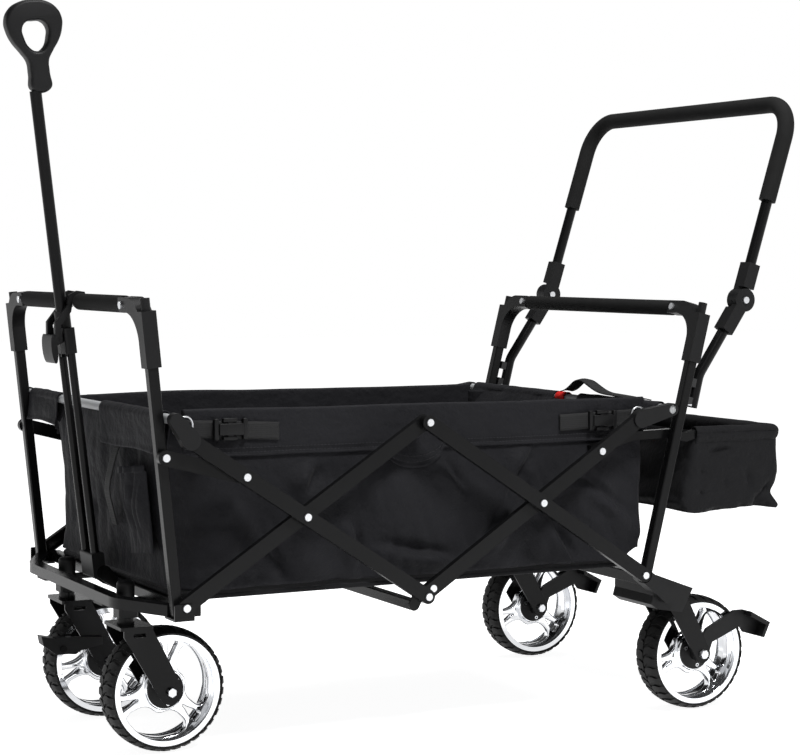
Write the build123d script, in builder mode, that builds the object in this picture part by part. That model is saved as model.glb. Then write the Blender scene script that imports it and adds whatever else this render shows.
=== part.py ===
from build123d import *
import os
from math import atan2, cos, degrees, hypot, radians, sin

# A folding pull wagon with a fabric tub, a pull handle at the front and a push bar at
# the rear. Lengths are in millimetres. +X points to the rear and +Z up, and the near
# side is -Y. Distances along X are measured from the front axle unless they say so.

# Wheels
wheel_r = 95
tyre_width = 58
tyre_shoulder_r = 91
rim_r = 84.3
rim_width = 52
rim_lip_r = 75
rim_wall = 3.8
rim_bead = 2
rim_slope = 4
hub_r = 27
hub_core = 24
hub_flange_r = 28.5
hub_flange = 4
rim_seat = 2
hub_boss_r = 12
hub_boss_reach = 34.5
brake_boss_reach = 29
spoke_count = 3
spoke_start = -50
spoke_half = 8
spoke_root = 9
spoke_tip = 19
spoke_reach = rim_r - rim_wall + 0.7
spoke_slot = (37, 72)
spoke_slot_half = (3.5, 11)
axle_r = 4
wheelbase = 891
front_track_half = 132
rear_track_half = 249

# Clearances
running_fit = 0.05
soft_gap = 0.3

# Fold linkage: every arm crosses another at the same distance from the apexes
fold_angle = 33
apex_reach = 240
front_reach = 220
rear_reach = 230
arm_height = 22
arm_depth = 11
arm_web = 2.5
arm_rim = 2.5
layer_gap = 0.6
rivet_r = 3
rivet_head_r = 5.5
rivet_head = 3
flush_head = 0.4
boss_r = 8

# Frame tubes
upright = 16
tub_half = 276
upright_y = tub_half + 23.5
upright_wall = 1.5
tube_wall = 1.5
plug = 12
upright_corner = 2.5
side_gap = 1
base_z = 232
base_tube_height = 16
base_tube_width = 20

# Front frame, as distances behind the front axle and heights
front_foot_x = -43.2
front_lean = 6.15
front_bar_z = 673.6
loop_front_x = -91
loop_side_x = -40
loop_corner_y = 192
loop_corner_r = 60
cross_x = -20
foot_plate = 3
foot_plate_front = -56
foot_plate_rear = -26
foot_plate_inner = upright_y - 14.5
foot_ear_height = 24
front_pivot_x = -38.3
front_pivot_z = base_z + arm_height / 2 + 4.5

# Casters
trail = 57.5
head_size = 30
head_low = 207
head_high = base_z - foot_plate
stem_r = 8
stem_play = 1
bearing_r = 13
cap_r = 13.5
cap_height = 30
mount_plate_half = 22
fork_top = 197
fork_plate = 5
fork_front = -78
fork_rear = -27
fork_corner = 4
fork_half = 38
fork_leg = 3
fork_shoulder = 14
fork_end_r = 19
fork_slot = (20, 6)
fork_slot_at = (-49, 184)
bolt_head_r = 7.5
bolt_head = 5

# Front caster pedal, on the far fork
caster_pedal_pivot = (-80, 123)
caster_pedal_ear = (-58, 120)
caster_pedal_ear_r = 9
caster_pedal_side = (
    (-120, 148),
    (-98, 143),
    (-14, 137),
    (-14, 125),
    (-70, 114),
    (-90, 114),
    (-117, 134),
)
caster_pedal_toe = ((-120, 148), (-98, 143), (-100, 137), (-117, 134))
caster_pedal_width = 14
caster_pedal_depth = 8

# Pull handle
handle_pivot = (-52.9, 258.4)
handle_offset = 8.6
handle_lean = 6.9
handle_pin_r = 4
handle_block = (-8, 32)
handle_block_width = 54
handle_block_depth = 20
twin_r = 6.25
twin_half = 20.5
twin_end = 340
collar_width = 56
collar_depth = 17.5
collar_end = 379
neck_collar_r = 12
neck_collar_end = 404
pull_tube_r = 9
pull_tube_start = 335
pull_tube_end = 737
grip_collar_r = 13
grip_neck = 40
grip_width = 92
grip_height = 96
grip_hole_low = 22
grip_depth = 24
grip_side = 24.5
grip_top = 31
grip_corner = 26
grip_start = pull_tube_end
latch_pivot_s = 364
latch_pivot_gap = 5
latch_paddle = (5, 22)
latch_paddle_at = (-11.5, -14)
latch_pin_r = 3
latch_half = 15
latch_arm = 7
latch_root = ((2.5, -6), (2.5, 20))
latch_back = ((-6, 26), (-9, 0), (-9, -10))
latch_lug = 12
latch_lug_shift = 1
hook_gap = 1.5
hook_thick = 7
hook_lip = 3

# Corner brackets and canopy pole sockets
bracket_depth = 22
bracket_skirt = 88
bracket_arm_reach = 78
bracket_arm_half = 10.5
bracket_half = 11
bracket_web = (58, 48)
socket_r = 7
socket_bore_r = 5.2
socket_low = -8
socket_high = 10
socket_floor = -16
bar_r = 8
bar_inset = 50
sleeve_r = 12.5
sleeve_end = upright_y - 78.3
front_sleeve_start = 30
bar_rivet_y = upright_y - 66.5

# Rear frame
rear_base_x = 762
rear_base = (20, 18)
rear_base_top = 240
rear_lean = 13.8
rear_foot_x = 764.5
rear_bar_z = 664
rear_foot_pivot_gap = 1.5
rear_toe = (48.3, -36)
rear_toe_r = 13
rear_box_sill = ((-6, -34), (-10, -48), (4, -57))
rear_box_shoulder = (33, -5)

# Rear forks, with the crown's ends and leg end measured from the axle
crown_high = (-47, 118)
crown_low = (-68, 80)
crown_plate = 5
rear_fork_end_r = 14.5

# Push handle
push_y = upright_y - 7
push_tube_r = 9
push_low = (856, 504)
push_bend = (869, 557)
push_bend_r = 40
elbow = (952.8, 678)
elbow_r = 19
elbow_half = 12.5
elbow_pin_r = 3.5
elbow_head_r = 5.5
elbow_socket_r = 11
elbow_socket = 62
push_top = (1055, 1005)
push_corner_r = 60
push_foam_r = 14
foam_start = 171

# Basket behind the rear frame
basket_pivot = (817, 463)
basket_link = ((663.7, 441.6), (746, 461), (817, 463), (848, 455), (870, 461))
basket_rear = 1032
basket_bar = (14, 11)
basket_z = 461
bag_front = 862
bag_bottom = 332
bag_rear_low = 1040
bag_wall = 4
bag_floor = 6

# Tub
tub_wall = 3
tub_floor_z = base_z + base_tube_height + soft_gap
tub_top = 505
tub_side_front = 534
tub_side_rear = 527
tub_board = 8
tub_rear_low = 752
tub_rear_knee = (766, 274)
rim_tube_r = 7
corner_wall = 3
front_rim = (-57, 514)
rear_rim = (798, 504)
front_link_pivot_z = 460.5
front_link_reach = 114.2
rear_link_reach = 137
front_arm_end = 216
rear_arm_end = 226

# Apex cross tube
apex_tube = 15
apex_tube_at = (-19.5, -11.8)

# Brake pedals
pedal_inner = 29.3
pedal_depth = 5.5
pedal_hub_r = 15
pedal_side = (
    (-13, 7),
    (9, 41),
    (65, 67),
    (85, 67),
    (125, 46),
    (113, 21),
    (86, 29),
    (78, 40),
    (21, 18),
    (10, -11),
)
pedal_tread = ((85, 67), (125, 46), (113, 21), (108, 23), (117, 42), (85, 59))
pedal_foot = 20

# The origin lies midway between the grip's front and the push bar's rear
lean_sin = sin(radians(handle_lean))
lean_cos = cos(radians(handle_lean))
grip_arc = grip_start + grip_neck + grip_height - grip_corner
handle_foot_x = handle_pivot[0] - handle_offset * lean_cos
handle_foot_z = handle_pivot[1] - handle_offset * lean_sin
grip_front = (
    handle_foot_x
    - (grip_width / 2 - grip_corner) * lean_cos
    - grip_arc * lean_sin
    - grip_corner
)
push_rear = push_top[0] + push_foam_r
front_x = -(grip_front + push_rear) / 2

# Working planes: `side` looks at the near side, `ground` looks down
side = Plane(origin=(front_x, 0, 0), x_dir=(1, 0, 0), z_dir=(0, -1, 0))
ground = Plane(origin=(front_x, 0, 0))

inner_layer = upright_y + upright / 2 + side_gap
inner_face = inner_layer + arm_depth
outer_layer = inner_face + layer_gap
outer_face = outer_layer + arm_depth
ear_y = outer_layer


def along(point, angle, distance):
    """Point at a distance from another, in the direction of an angle above +X."""
    return (
        point[0] + distance * cos(radians(angle)),
        point[1] + distance * sin(radians(angle)),
    )


front_pivot = (front_pivot_x, front_pivot_z)
front_cross = along(front_pivot, fold_angle, front_reach)
top_apex = along(front_cross, fold_angle, apex_reach)
bottom_apex = along(front_cross, -fold_angle, apex_reach)
rear_cross = along(top_apex, -fold_angle, apex_reach)
rear_pivot = along(rear_cross, -fold_angle, rear_reach)
front_link_end = along(front_cross, 180 - fold_angle, front_link_reach)
rear_link_end = along(rear_cross, fold_angle, rear_link_reach)
front_arm_tip = along(front_cross, 180 - fold_angle, front_arm_end)
rear_arm_tip = along(rear_cross, fold_angle, rear_arm_end)
apex_rivet = along(bottom_apex, fold_angle, 18)
front_lean_dir = (-sin(radians(front_lean)), cos(radians(front_lean)))
rear_lean_dir = (sin(radians(rear_lean)), cos(radians(rear_lean)))


def on_upright(foot_x, foot_z, lean_dir, z):
    """Point at height z on the axis of a leaning upright."""
    return (foot_x + (z - foot_z) * lean_dir[0] / lean_dir[1], z)


front_link_pivot = on_upright(front_foot_x, base_z, front_lean_dir, front_link_pivot_z)
front_bar = on_upright(front_foot_x, base_z, front_lean_dir, front_bar_z)
rear_bar = on_upright(rear_foot_x, rear_base_top, rear_lean_dir, rear_bar_z)


def save(piece, label):
    """Label a finished piece and write it as its own node."""
    piece.part.label = label
    export_step(piece.part, f"parts/{label}.step")


def save_together(label, *pieces):
    """Write pieces that share a node as separate solids of one file."""
    node = Compound(label=label, children=[piece.part for piece in pieces])
    export_step(node, f"parts/{label}.step")


def across(point, y):
    """Plane at a point of the side view and at y, with the wheel axle's direction as x."""
    return Plane(origin=(front_x + point[0], y, point[1]), x_dir=(0, 1, 0), z_dir=(1, 0, 0))


def leaning(point, y, lean_dir):
    """Plane across a leaning upright: x points inwards from the near side, y up it."""
    return Plane(
        origin=(front_x + point[0], y, point[1]),
        x_dir=(0, 1, 0),
        z_dir=(lean_dir[1], 0, -lean_dir[0]),
    )


def end_on(point, y, lean_dir):
    """Plane whose normal runs up a leaning member, with x pointing inwards."""
    return Plane(
        origin=(front_x + point[0], y, point[1]),
        x_dir=(0, 1, 0),
        z_dir=(lean_dir[0], 0, lean_dir[1]),
    )


os.makedirs("parts", exist_ok=True)


# ---------------------------------------------------------------- wheels
def make_wheel(x, y, place, left_reach):
    """Write the tyre, rim and hub of a wheel; left_reach is the hub's reach towards -Y."""
    section = across((x, wheel_r), y)
    face = Plane(
        origin=(front_x + x, y, wheel_r), x_dir=(1, 0, 0), z_dir=(0, -1, 0)
    )
    axle = Axis((front_x + x, y, wheel_r), (0, 1, 0))
    half = tyre_width / 2

    with BuildPart() as tyre:
        with BuildSketch(section):
            with BuildLine():
                Line((-half, rim_r), (-half, tyre_shoulder_r))
                ThreePointArc((-half, tyre_shoulder_r), (0, wheel_r), (half, tyre_shoulder_r))
                Line((half, tyre_shoulder_r), (half, rim_r))
                Line((half, rim_r), (-half, rim_r))
            make_face()
        revolve(axis=axle)
    save(tyre, f"tyre_{place}")

    lip = rim_width / 2
    barrel = lip - rim_bead - rim_slope
    with BuildPart() as rim:
        with BuildSketch(section):
            with BuildLine():
                Polyline(
                    (-lip, rim_r),
                    (lip, rim_r),
                    (lip, rim_lip_r),
                    (lip - rim_bead, rim_lip_r),
                    (barrel, rim_r - rim_wall),
                    (-barrel, rim_r - rim_wall),
                    (-lip + rim_bead, rim_lip_r),
                    (-lip, rim_lip_r),
                    close=True,
                )
            make_face()
        revolve(axis=axle)
        with BuildSketch(face):
            Circle(hub_flange_r + rim_seat)
            with PolarLocations(0, spoke_count, start_angle=spoke_start):
                Polygon(
                    (0, -spoke_root),
                    (spoke_reach, -spoke_tip),
                    (spoke_reach, spoke_tip),
                    (0, spoke_root),
                    align=None,
                )
                Polygon(
                    (spoke_slot[0], -spoke_slot_half[0]),
                    (spoke_slot[1], -spoke_slot_half[1]),
                    (spoke_slot[1], spoke_slot_half[1]),
                    (spoke_slot[0], spoke_slot_half[0]),
                    align=None,
                    mode=Mode.SUBTRACT,
                )
            Circle(hub_r, mode=Mode.SUBTRACT)
        extrude(amount=spoke_half, both=True)
    save(rim, f"rim_{place}")

    core = hub_core / 2
    with BuildPart() as hub:
        with BuildSketch(section):
            with BuildLine():
                Polyline(
                    (-left_reach, axle_r + running_fit),
                    (hub_boss_reach, axle_r + running_fit),
                    (hub_boss_reach, hub_boss_r),
                    (core + 2 * hub_flange, hub_boss_r + rim_seat),
                    (core + hub_flange, hub_flange_r),
                    (core, hub_flange_r),
                    (core, hub_r),
                    (-core, hub_r),
                    (-core, hub_flange_r),
                    (-core - hub_flange, hub_flange_r),
                    (-core - 2 * hub_flange, hub_boss_r + rim_seat),
                    (-left_reach, hub_boss_r),
                    close=True,
                )
            make_face()
        revolve(axis=axle)
    save(hub, f"hub_{place}")


make_wheel(0, -front_track_half, "front_near", hub_boss_reach)
make_wheel(0, front_track_half, "front_far", hub_boss_reach)
make_wheel(wheelbase, -rear_track_half, "rear_near", brake_boss_reach)
make_wheel(wheelbase, rear_track_half, "rear_far", brake_boss_reach)


# ---------------------------------------------------------------- front casters
def fork_legs(y, crown, axle, end_r):
    """Add the two legs of a fork: a hull of the crown's corners and the round end."""
    for leg_y in (y - fork_half, y + fork_half - fork_leg):
        with BuildSketch(side.offset(-leg_y - fork_leg)) as outline:
            with Locations(axle):
                Circle(end_r)
            Polygon(*crown, align=None)
            make_hull()
            with Locations(axle):
                Circle(axle_r, mode=Mode.SUBTRACT)
        extrude(outline.sketch, amount=fork_leg)


def wheel_bolt(x, y):
    """Add the axle bolt of a fork with its two hexagon heads."""
    reach = fork_half + bolt_head
    with BuildSketch(side.offset(-y - reach)) as outline:
        with Locations((x, wheel_r)):
            Circle(axle_r)
    extrude(outline.sketch, amount=2 * reach)
    for head_y in (y - reach, y + fork_half):
        with BuildSketch(side.offset(-head_y - bolt_head)) as outline:
            with Locations((x, wheel_r)):
                RegularPolygon(bolt_head_r, 6)
        extrude(outline.sketch, amount=bolt_head)


def make_caster_fork(y, place):
    """Write one front fork: top plate, slotted legs, swivel stem and axle bolt."""
    with BuildPart() as fork:
        with BuildSketch(ground.offset(fork_top - fork_plate)):
            with Locations(((fork_front + fork_rear) / 2, y)):
                RectangleRounded(fork_rear - fork_front, 2 * fork_half, fork_corner)
        extrude(amount=fork_plate)
        with BuildSketch(ground.offset(fork_top)):
            with Locations((-trail, y)):
                Circle(stem_r)
        extrude(amount=head_high - stem_play - foot_plate - fork_top)
        with BuildSketch(ground.offset(fork_top)):
            with Locations((-trail, y)):
                Circle(bearing_r)
        extrude(amount=head_low - stem_play - fork_top)
        crown = [
            (fork_front + fork_corner, fork_top - 1),
            (fork_rear - fork_corner, fork_top - 1),
            (fork_rear - 1, fork_top - fork_shoulder),
            (fork_front + fork_corner, fork_top - fork_shoulder),
        ]
        fork_legs(y, crown, (0, wheel_r), fork_end_r)
        with BuildSketch(side.offset(-y - fork_half - 1)):
            with Locations(fork_slot_at):
                SlotOverall(*fork_slot)
        extrude(amount=2 * fork_half + 2, mode=Mode.SUBTRACT)
        if place == "far":
            with BuildSketch(side.offset(-y + fork_half)):
                with Locations(caster_pedal_pivot, caster_pedal_ear):
                    Circle(caster_pedal_ear_r)
                make_hull()
                with Locations(caster_pedal_pivot):
                    Circle(rivet_r, mode=Mode.SUBTRACT)
            extrude(amount=-fork_leg)
    with BuildPart() as bolts:
        wheel_bolt(0, y)
        if place == "far":
            with BuildSketch(side.offset(-y + fork_half - fork_leg)):
                with Locations(caster_pedal_pivot):
                    Circle(rivet_r)
            extrude(amount=fork_leg + caster_pedal_depth + 1)
            with BuildSketch(side.offset(-y + fork_half + caster_pedal_depth + 0.6)):
                with Locations(caster_pedal_pivot):
                    Circle(rivet_head_r)
            extrude(amount=rivet_head)
    save_together(f"front_fork_{place}", fork, bolts)


make_caster_fork(-front_track_half, "near")
make_caster_fork(front_track_half, "far")

with BuildPart() as caster_pedal:
    with BuildSketch(side.offset(-front_track_half + fork_half + soft_gap)):
        Polygon(*caster_pedal_side, align=None)
        with Locations(caster_pedal_pivot):
            Circle(rivet_r + running_fit, mode=Mode.SUBTRACT)
    extrude(amount=caster_pedal_depth)
    with BuildSketch(side.offset(-front_track_half + fork_half + soft_gap)):
        Polygon(*caster_pedal_toe, align=None)
    extrude(amount=caster_pedal_depth + caster_pedal_width)
save(caster_pedal, "caster_pedal")

# The swivel heads hang under the front loop and carry the casters' stems.
with BuildPart() as caster_heads:
    with BuildSketch(ground.offset(head_high)):
        with Locations(((loop_front_x + cross_x) / 2, -front_track_half)):
            RectangleRounded(cross_x - loop_front_x + base_tube_width, 2 * mount_plate_half, 5)
    extrude(amount=foot_plate)
    with BuildSketch(ground.offset(head_low)):
        with Locations((-trail, -front_track_half)):
            RectangleRounded(head_size, head_size, 4)
            Circle(stem_r + running_fit, mode=Mode.SUBTRACT)
    extrude(amount=head_high - head_low)
    with BuildSketch(ground.offset(base_z)):
        with Locations((-trail, -front_track_half)):
            Circle(cap_r)
    extrude(amount=cap_height)
    fillet(caster_heads.edges().group_by(Axis.Z)[-1], 6)
    mirror(about=Plane.XZ)
save(caster_heads, "caster_heads")


# ---------------------------------------------------------------- front frame
def square_tube(foot, y, lean_dir, length):
    """Add a square tube with plugged ends that runs up from its foot."""
    plane = end_on(foot, y, lean_dir)
    inside = upright - 2 * upright_wall
    with BuildSketch(plane.offset(-upright)) as outline:
        RectangleRounded(upright, upright, upright_corner)
    extrude(outline.sketch, amount=length + upright)
    with BuildSketch(plane.offset(plug)) as outline:
        RectangleRounded(inside, inside, upright_corner - 1)
    extrude(outline.sketch, amount=length - 2 * plug, mode=Mode.SUBTRACT)
    with BuildSketch(ground.offset(foot[1] - 3 * upright)) as outline:
        with Locations((foot[0], y)):
            Rectangle(4 * upright, 2 * upright)
    extrude(outline.sketch, amount=3 * upright, mode=Mode.SUBTRACT)


def cross_tube(point, reach, r, wall):
    """Add a round tube along Y from -reach to reach, with its ends plugged."""
    with BuildSketch(side.offset(-reach)) as outline:
        with Locations(point):
            Circle(r)
    extrude(outline.sketch, amount=2 * reach)
    with BuildSketch(side.offset(plug - reach)) as inside:
        with Locations(point):
            Circle(r - wall)
    extrude(inside.sketch, amount=2 * (reach - plug), mode=Mode.SUBTRACT)


def cross_box(point, width, height, reach, wall):
    """Add a rectangular tube along Y from -reach to reach, with its ends plugged."""
    with BuildSketch(side.offset(-reach)) as outline:
        with Locations(point):
            RectangleRounded(width, height, wall)
    extrude(outline.sketch, amount=2 * reach)
    with BuildSketch(side.offset(plug - reach)) as inside:
        with Locations(point):
            Rectangle(width - 2 * wall, height - 2 * wall)
    extrude(inside.sketch, amount=2 * (reach - plug), mode=Mode.SUBTRACT)


bracket_tube_top = -20
front_upright_length = (front_bar_z - base_z) / front_lean_dir[1] + bracket_tube_top
rear_upright_length = (rear_bar_z - rear_base_top) / rear_lean_dir[1] + bracket_tube_top

with BuildPart() as front_uprights:
    square_tube((front_foot_x, base_z), -upright_y, front_lean_dir, front_upright_length)
    mirror(about=Plane.XZ)

with BuildPart() as front_crossbar:
    cross_tube(front_bar, upright_y - bar_inset, bar_r, tube_wall)
save_together("front_uprights", front_uprights, front_crossbar)

with BuildPart() as front_loop:
    with BuildSketch(ground.offset(base_z)):
        with BuildLine():
            FilletPolyline(
                (loop_side_x, -upright_y),
                (loop_front_x, -loop_corner_y),
                (loop_front_x, loop_corner_y),
                (loop_side_x, upright_y),
                radius=loop_corner_r,
            )
        trace(line_width=base_tube_width)
        Rectangle(4 * wheel_r, 2 * upright_y - upright, mode=Mode.INTERSECT)
    extrude(amount=base_tube_height)
    with BuildSketch(ground.offset(base_z + tube_wall)):
        with BuildLine():
            FilletPolyline(
                (loop_side_x, -upright_y),
                (loop_front_x, -loop_corner_y),
                (loop_front_x, loop_corner_y),
                (loop_side_x, upright_y),
                radius=loop_corner_r,
            )
        trace(line_width=base_tube_width - 2 * tube_wall)
        Rectangle(4 * wheel_r, 2 * (upright_y - upright), mode=Mode.INTERSECT)
    extrude(amount=base_tube_height - 2 * tube_wall, mode=Mode.SUBTRACT)

with BuildPart() as front_base_tube:
    cross_box((cross_x, base_z + base_tube_height / 2), base_tube_width, base_tube_height,
              upright_y + upright / 2, tube_wall)

with BuildPart() as front_foot_brackets:
    plate_length = foot_plate_rear - foot_plate_front
    plate_mid = (foot_plate_rear + foot_plate_front) / 2
    plate_width = ear_y + foot_plate - foot_plate_inner
    with BuildSketch(ground.offset(base_z - foot_plate)):
        with Locations((plate_mid, -foot_plate_inner - plate_width / 2)):
            Rectangle(plate_length, plate_width)
    extrude(amount=foot_plate)
    with BuildSketch(side.offset(ear_y)):
        with Locations((plate_mid, base_z - foot_plate + foot_ear_height / 2)):
            RectangleRounded(plate_length, foot_ear_height, 2.5)
        with Locations(front_pivot):
            Circle(rivet_r, mode=Mode.SUBTRACT)
    extrude(amount=foot_plate)
    mirror(about=Plane.XZ)
save_together("front_base_frame", front_loop, front_base_tube, front_foot_brackets)


def make_brackets(bar, lean_dir, label):
    """Write a pair of corner brackets, each with a socket for a canopy pole."""
    face = leaning(bar, -upright_y, lean_dir)
    up = degrees(atan2(lean_dir[1], lean_dir[0]))
    top = end_on(along(bar, up, socket_low), -upright_y, lean_dir)
    with BuildPart() as brackets:
        with BuildSketch(face):
            with BuildLine():
                Line((-bracket_half, -bracket_skirt), (-bracket_half, socket_low))
                Line((-bracket_half, socket_low), (5, socket_low))
                ThreePointArc((5, socket_low), (18, 4), (38, bracket_arm_half))
                Line((38, bracket_arm_half), (bracket_arm_reach, bracket_arm_half))
                Line(
                    (bracket_arm_reach, bracket_arm_half),
                    (bracket_arm_reach, -bracket_arm_half),
                )
                Line(
                    (bracket_arm_reach, -bracket_arm_half),
                    (bracket_web[0], -bracket_arm_half),
                )
                ThreePointArc(
                    (bracket_web[0], -bracket_arm_half),
                    (26, -20),
                    (bracket_half, -bracket_web[1]),
                )
                Line((bracket_half, -bracket_web[1]), (bracket_half, -bracket_skirt))
                Line((bracket_half, -bracket_skirt), (-bracket_half, -bracket_skirt))
            make_face()
        extrude(amount=bracket_depth / 2, both=True)
        with BuildSketch(top):
            Circle(socket_r)
        extrude(amount=socket_high - socket_low)
        with BuildSketch(top.offset(socket_high - socket_low)):
            Circle(socket_bore_r)
        extrude(amount=socket_floor - socket_high, mode=Mode.SUBTRACT)
        with BuildSketch(top.offset(-socket_low - bracket_skirt)):
            RectangleRounded(upright, upright, upright_corner)
        extrude(amount=bracket_skirt + bracket_tube_top, mode=Mode.SUBTRACT)
        with BuildSketch(side.offset(upright_y - bar_inset)):
            with Locations(bar):
                Circle(bar_r)
        extrude(amount=-bar_inset, mode=Mode.SUBTRACT)
        mirror(about=Plane.XZ)
    save(brackets, label)


make_brackets(front_bar, front_lean_dir, "front_corner_brackets")
make_brackets(rear_bar, rear_lean_dir, "rear_corner_brackets")


def crossbar_sleeve(bar, start):
    """Add a foam sleeve round the near half of a crossbar, and its mirror image."""
    with BuildSketch(side.offset(start)) as outline:
        with Locations(bar):
            Circle(sleeve_r)
            Circle(bar_r, mode=Mode.SUBTRACT)
    extrude(outline.sketch, amount=sleeve_end - start)
    mirror(about=Plane.XZ)


with BuildPart() as front_crossbar_sleeve:
    crossbar_sleeve(front_bar, front_sleeve_start)
save(front_crossbar_sleeve, "front_crossbar_sleeve")

with BuildPart() as rear_crossbar_sleeve:
    crossbar_sleeve(rear_bar, 0)
save(rear_crossbar_sleeve, "rear_crossbar_sleeve")


# ---------------------------------------------------------------- fold arms
def side_disc(point, inner, outer, r):
    """Add a disc along Y that fills inner to outer on the near side."""
    with BuildSketch(side.offset(inner)) as outline:
        with Locations(point):
            Circle(r)
    extrude(outline.sketch, amount=outer - inner)


def arm(start, end, inner, holes):
    """Add a channel arm, open inwards, with solid bosses round the holes (point, r)."""
    length = hypot(end[0] - start[0], end[1] - start[1])
    angle = degrees(atan2(end[1] - start[1], end[0] - start[0]))
    middle = ((start[0] + end[0]) / 2, (start[1] + end[1]) / 2)
    with BuildSketch(side.offset(inner)) as outline:
        with Locations(middle):
            SlotCenterToCenter(length, arm_height, rotation=angle)
    extrude(outline.sketch, amount=arm_depth)
    with BuildSketch(side.offset(inner)) as outline:
        with Locations(middle):
            SlotCenterToCenter(length, arm_height - 2 * arm_rim, rotation=angle)
        for point, r in holes:
            with Locations(point):
                Circle(boss_r, mode=Mode.SUBTRACT)
    extrude(outline.sketch, amount=arm_depth - arm_web, mode=Mode.SUBTRACT)
    for point, r in holes:
        with BuildSketch(side.offset(inner)) as outline:
            with Locations(point):
                Circle(r)
        extrude(outline.sketch, amount=arm_depth, mode=Mode.SUBTRACT)


loose_r = rivet_r + running_fit
open_r = rivet_r + soft_gap

with BuildPart() as front_inner_arms:
    arm(front_pivot, top_apex, inner_layer,
        [(front_pivot, loose_r), (front_cross, rivet_r), (top_apex, rivet_r)])
    mirror(about=Plane.XZ)
save(front_inner_arms, "front_inner_arms")

apex_tube_centre = (bottom_apex[0] + apex_tube_at[0], bottom_apex[1] + apex_tube_at[1])

with BuildPart() as front_outer_arms:
    arm(front_arm_tip, bottom_apex, outer_layer,
        [(front_link_end, rivet_r), (front_cross, loose_r), (bottom_apex, rivet_r)])
    with BuildSketch(side.offset(outer_layer)):
        with Locations(apex_tube_centre):
            Circle(9)
        with Locations(along(bottom_apex, 180 - fold_angle, 12)):
            Circle(9)
        make_hull()
        with Locations(bottom_apex):
            Circle(rivet_r, mode=Mode.SUBTRACT)
    extrude(amount=arm_web)
    mirror(about=Plane.XZ)

with BuildPart() as rear_outer_arms:
    arm(top_apex, rear_pivot, outer_layer,
        [(top_apex, loose_r), (rear_cross, rivet_r), (rear_pivot, rivet_r)])
    mirror(about=Plane.XZ)
save(rear_outer_arms, "rear_outer_arms")

with BuildPart() as rear_inner_arms:
    arm(bottom_apex, rear_arm_tip, inner_layer,
        [(bottom_apex, open_r), (apex_rivet, rivet_r), (rear_cross, loose_r),
         (rear_link_end, rivet_r)])
    mirror(about=Plane.XZ)
save(rear_inner_arms, "rear_inner_arms")


def arm_rivet(point, low, high, inner_head, outer_head):
    """Add a rivet whose shank fills low to high, with heads beyond its ends."""
    side_disc(point, low, high, rivet_r)
    if inner_head:
        side_disc(point, low - inner_head, low, rivet_head_r)
    if outer_head:
        side_disc(point, high, high + outer_head, rivet_head_r)


with BuildPart() as front_inner_rivets:
    arm_rivet(front_cross, inner_layer, outer_face + running_fit, rivet_head, rivet_head)
    arm_rivet(top_apex, inner_layer, outer_face + running_fit, rivet_head, rivet_head)
    mirror(about=Plane.XZ)
save(front_inner_rivets, "front_inner_rivets")

with BuildPart() as front_outer_rivets:
    arm_rivet(front_link_end, outer_layer, outer_face, 0, rivet_head)
    arm_rivet(bottom_apex, inner_layer - running_fit, outer_face, rivet_head, rivet_head)
    mirror(about=Plane.XZ)
save(front_outer_rivets, "front_outer_rivets")

with BuildPart() as rear_outer_rivets:
    arm_rivet(rear_cross, inner_layer - running_fit, outer_face, rivet_head, rivet_head)
    arm_rivet(rear_pivot, inner_layer - running_fit, outer_face, rivet_head, rivet_head)
    mirror(about=Plane.XZ)
save(rear_outer_rivets, "rear_outer_rivets")

with BuildPart() as rear_inner_rivets:
    arm_rivet(apex_rivet, inner_layer, inner_face, rivet_head, flush_head)
    arm_rivet(rear_link_end, inner_layer, inner_face, rivet_head, rivet_head)
    mirror(about=Plane.XZ)
save(rear_inner_rivets, "rear_inner_rivets")

with BuildPart() as apex_cross_tube:
    cross_box(apex_tube_centre, apex_tube, apex_tube, outer_layer, tube_wall)
save_together("front_outer_arms", front_outer_arms, apex_cross_tube)


# ---------------------------------------------------------------- tub rims
def arm_recess(tip, inner_end, layer):
    """Cut the room for the end of an arm out of a moulded corner."""
    length = hypot(inner_end[0] - tip[0], inner_end[1] - tip[1])
    angle = degrees(atan2(inner_end[1] - tip[1], inner_end[0] - tip[0]))
    with BuildSketch(side.offset(layer)) as outline:
        with Locations(along(tip, angle, length / 2)):
            SlotCenterToCenter(length, arm_height, rotation=angle)
    extrude(outline.sketch, amount=arm_depth, mode=Mode.SUBTRACT)


with BuildPart() as front_rim_tube:
    cross_tube(front_rim, outer_layer, rim_tube_r, tube_wall)
save(front_rim_tube, "front_rim_tube")

with BuildPart() as front_rim_corners:
    with BuildSketch(side.offset(outer_layer)):
        with Locations(front_rim):
            Circle(rim_tube_r + corner_wall)
        with Locations(front_arm_tip):
            Circle(arm_height / 2 + corner_wall)
        make_hull()
    extrude(amount=arm_depth + corner_wall)
    arm_recess(front_arm_tip, front_link_end, outer_layer)
    mirror(about=Plane.XZ)
save(front_rim_corners, "front_rim_corners")

with BuildPart() as rear_rim_tube:
    cross_tube(rear_rim, outer_layer, rim_tube_r, tube_wall)
save(rear_rim_tube, "rear_rim_tube")

with BuildPart() as rear_rim_corners:
    with BuildSketch(side.offset(inner_layer)):
        with Locations(rear_rim):
            Circle(rim_tube_r + corner_wall)
        with Locations(rear_arm_tip):
            Circle(arm_height / 2 + corner_wall)
        make_hull()
        with Locations(rear_rim):
            Circle(rim_tube_r, mode=Mode.SUBTRACT)
    extrude(amount=arm_depth + corner_wall)
    arm_recess(rear_arm_tip, rear_link_end, inner_layer)
    mirror(about=Plane.XZ)
save(rear_rim_corners, "rear_rim_corners")

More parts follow.
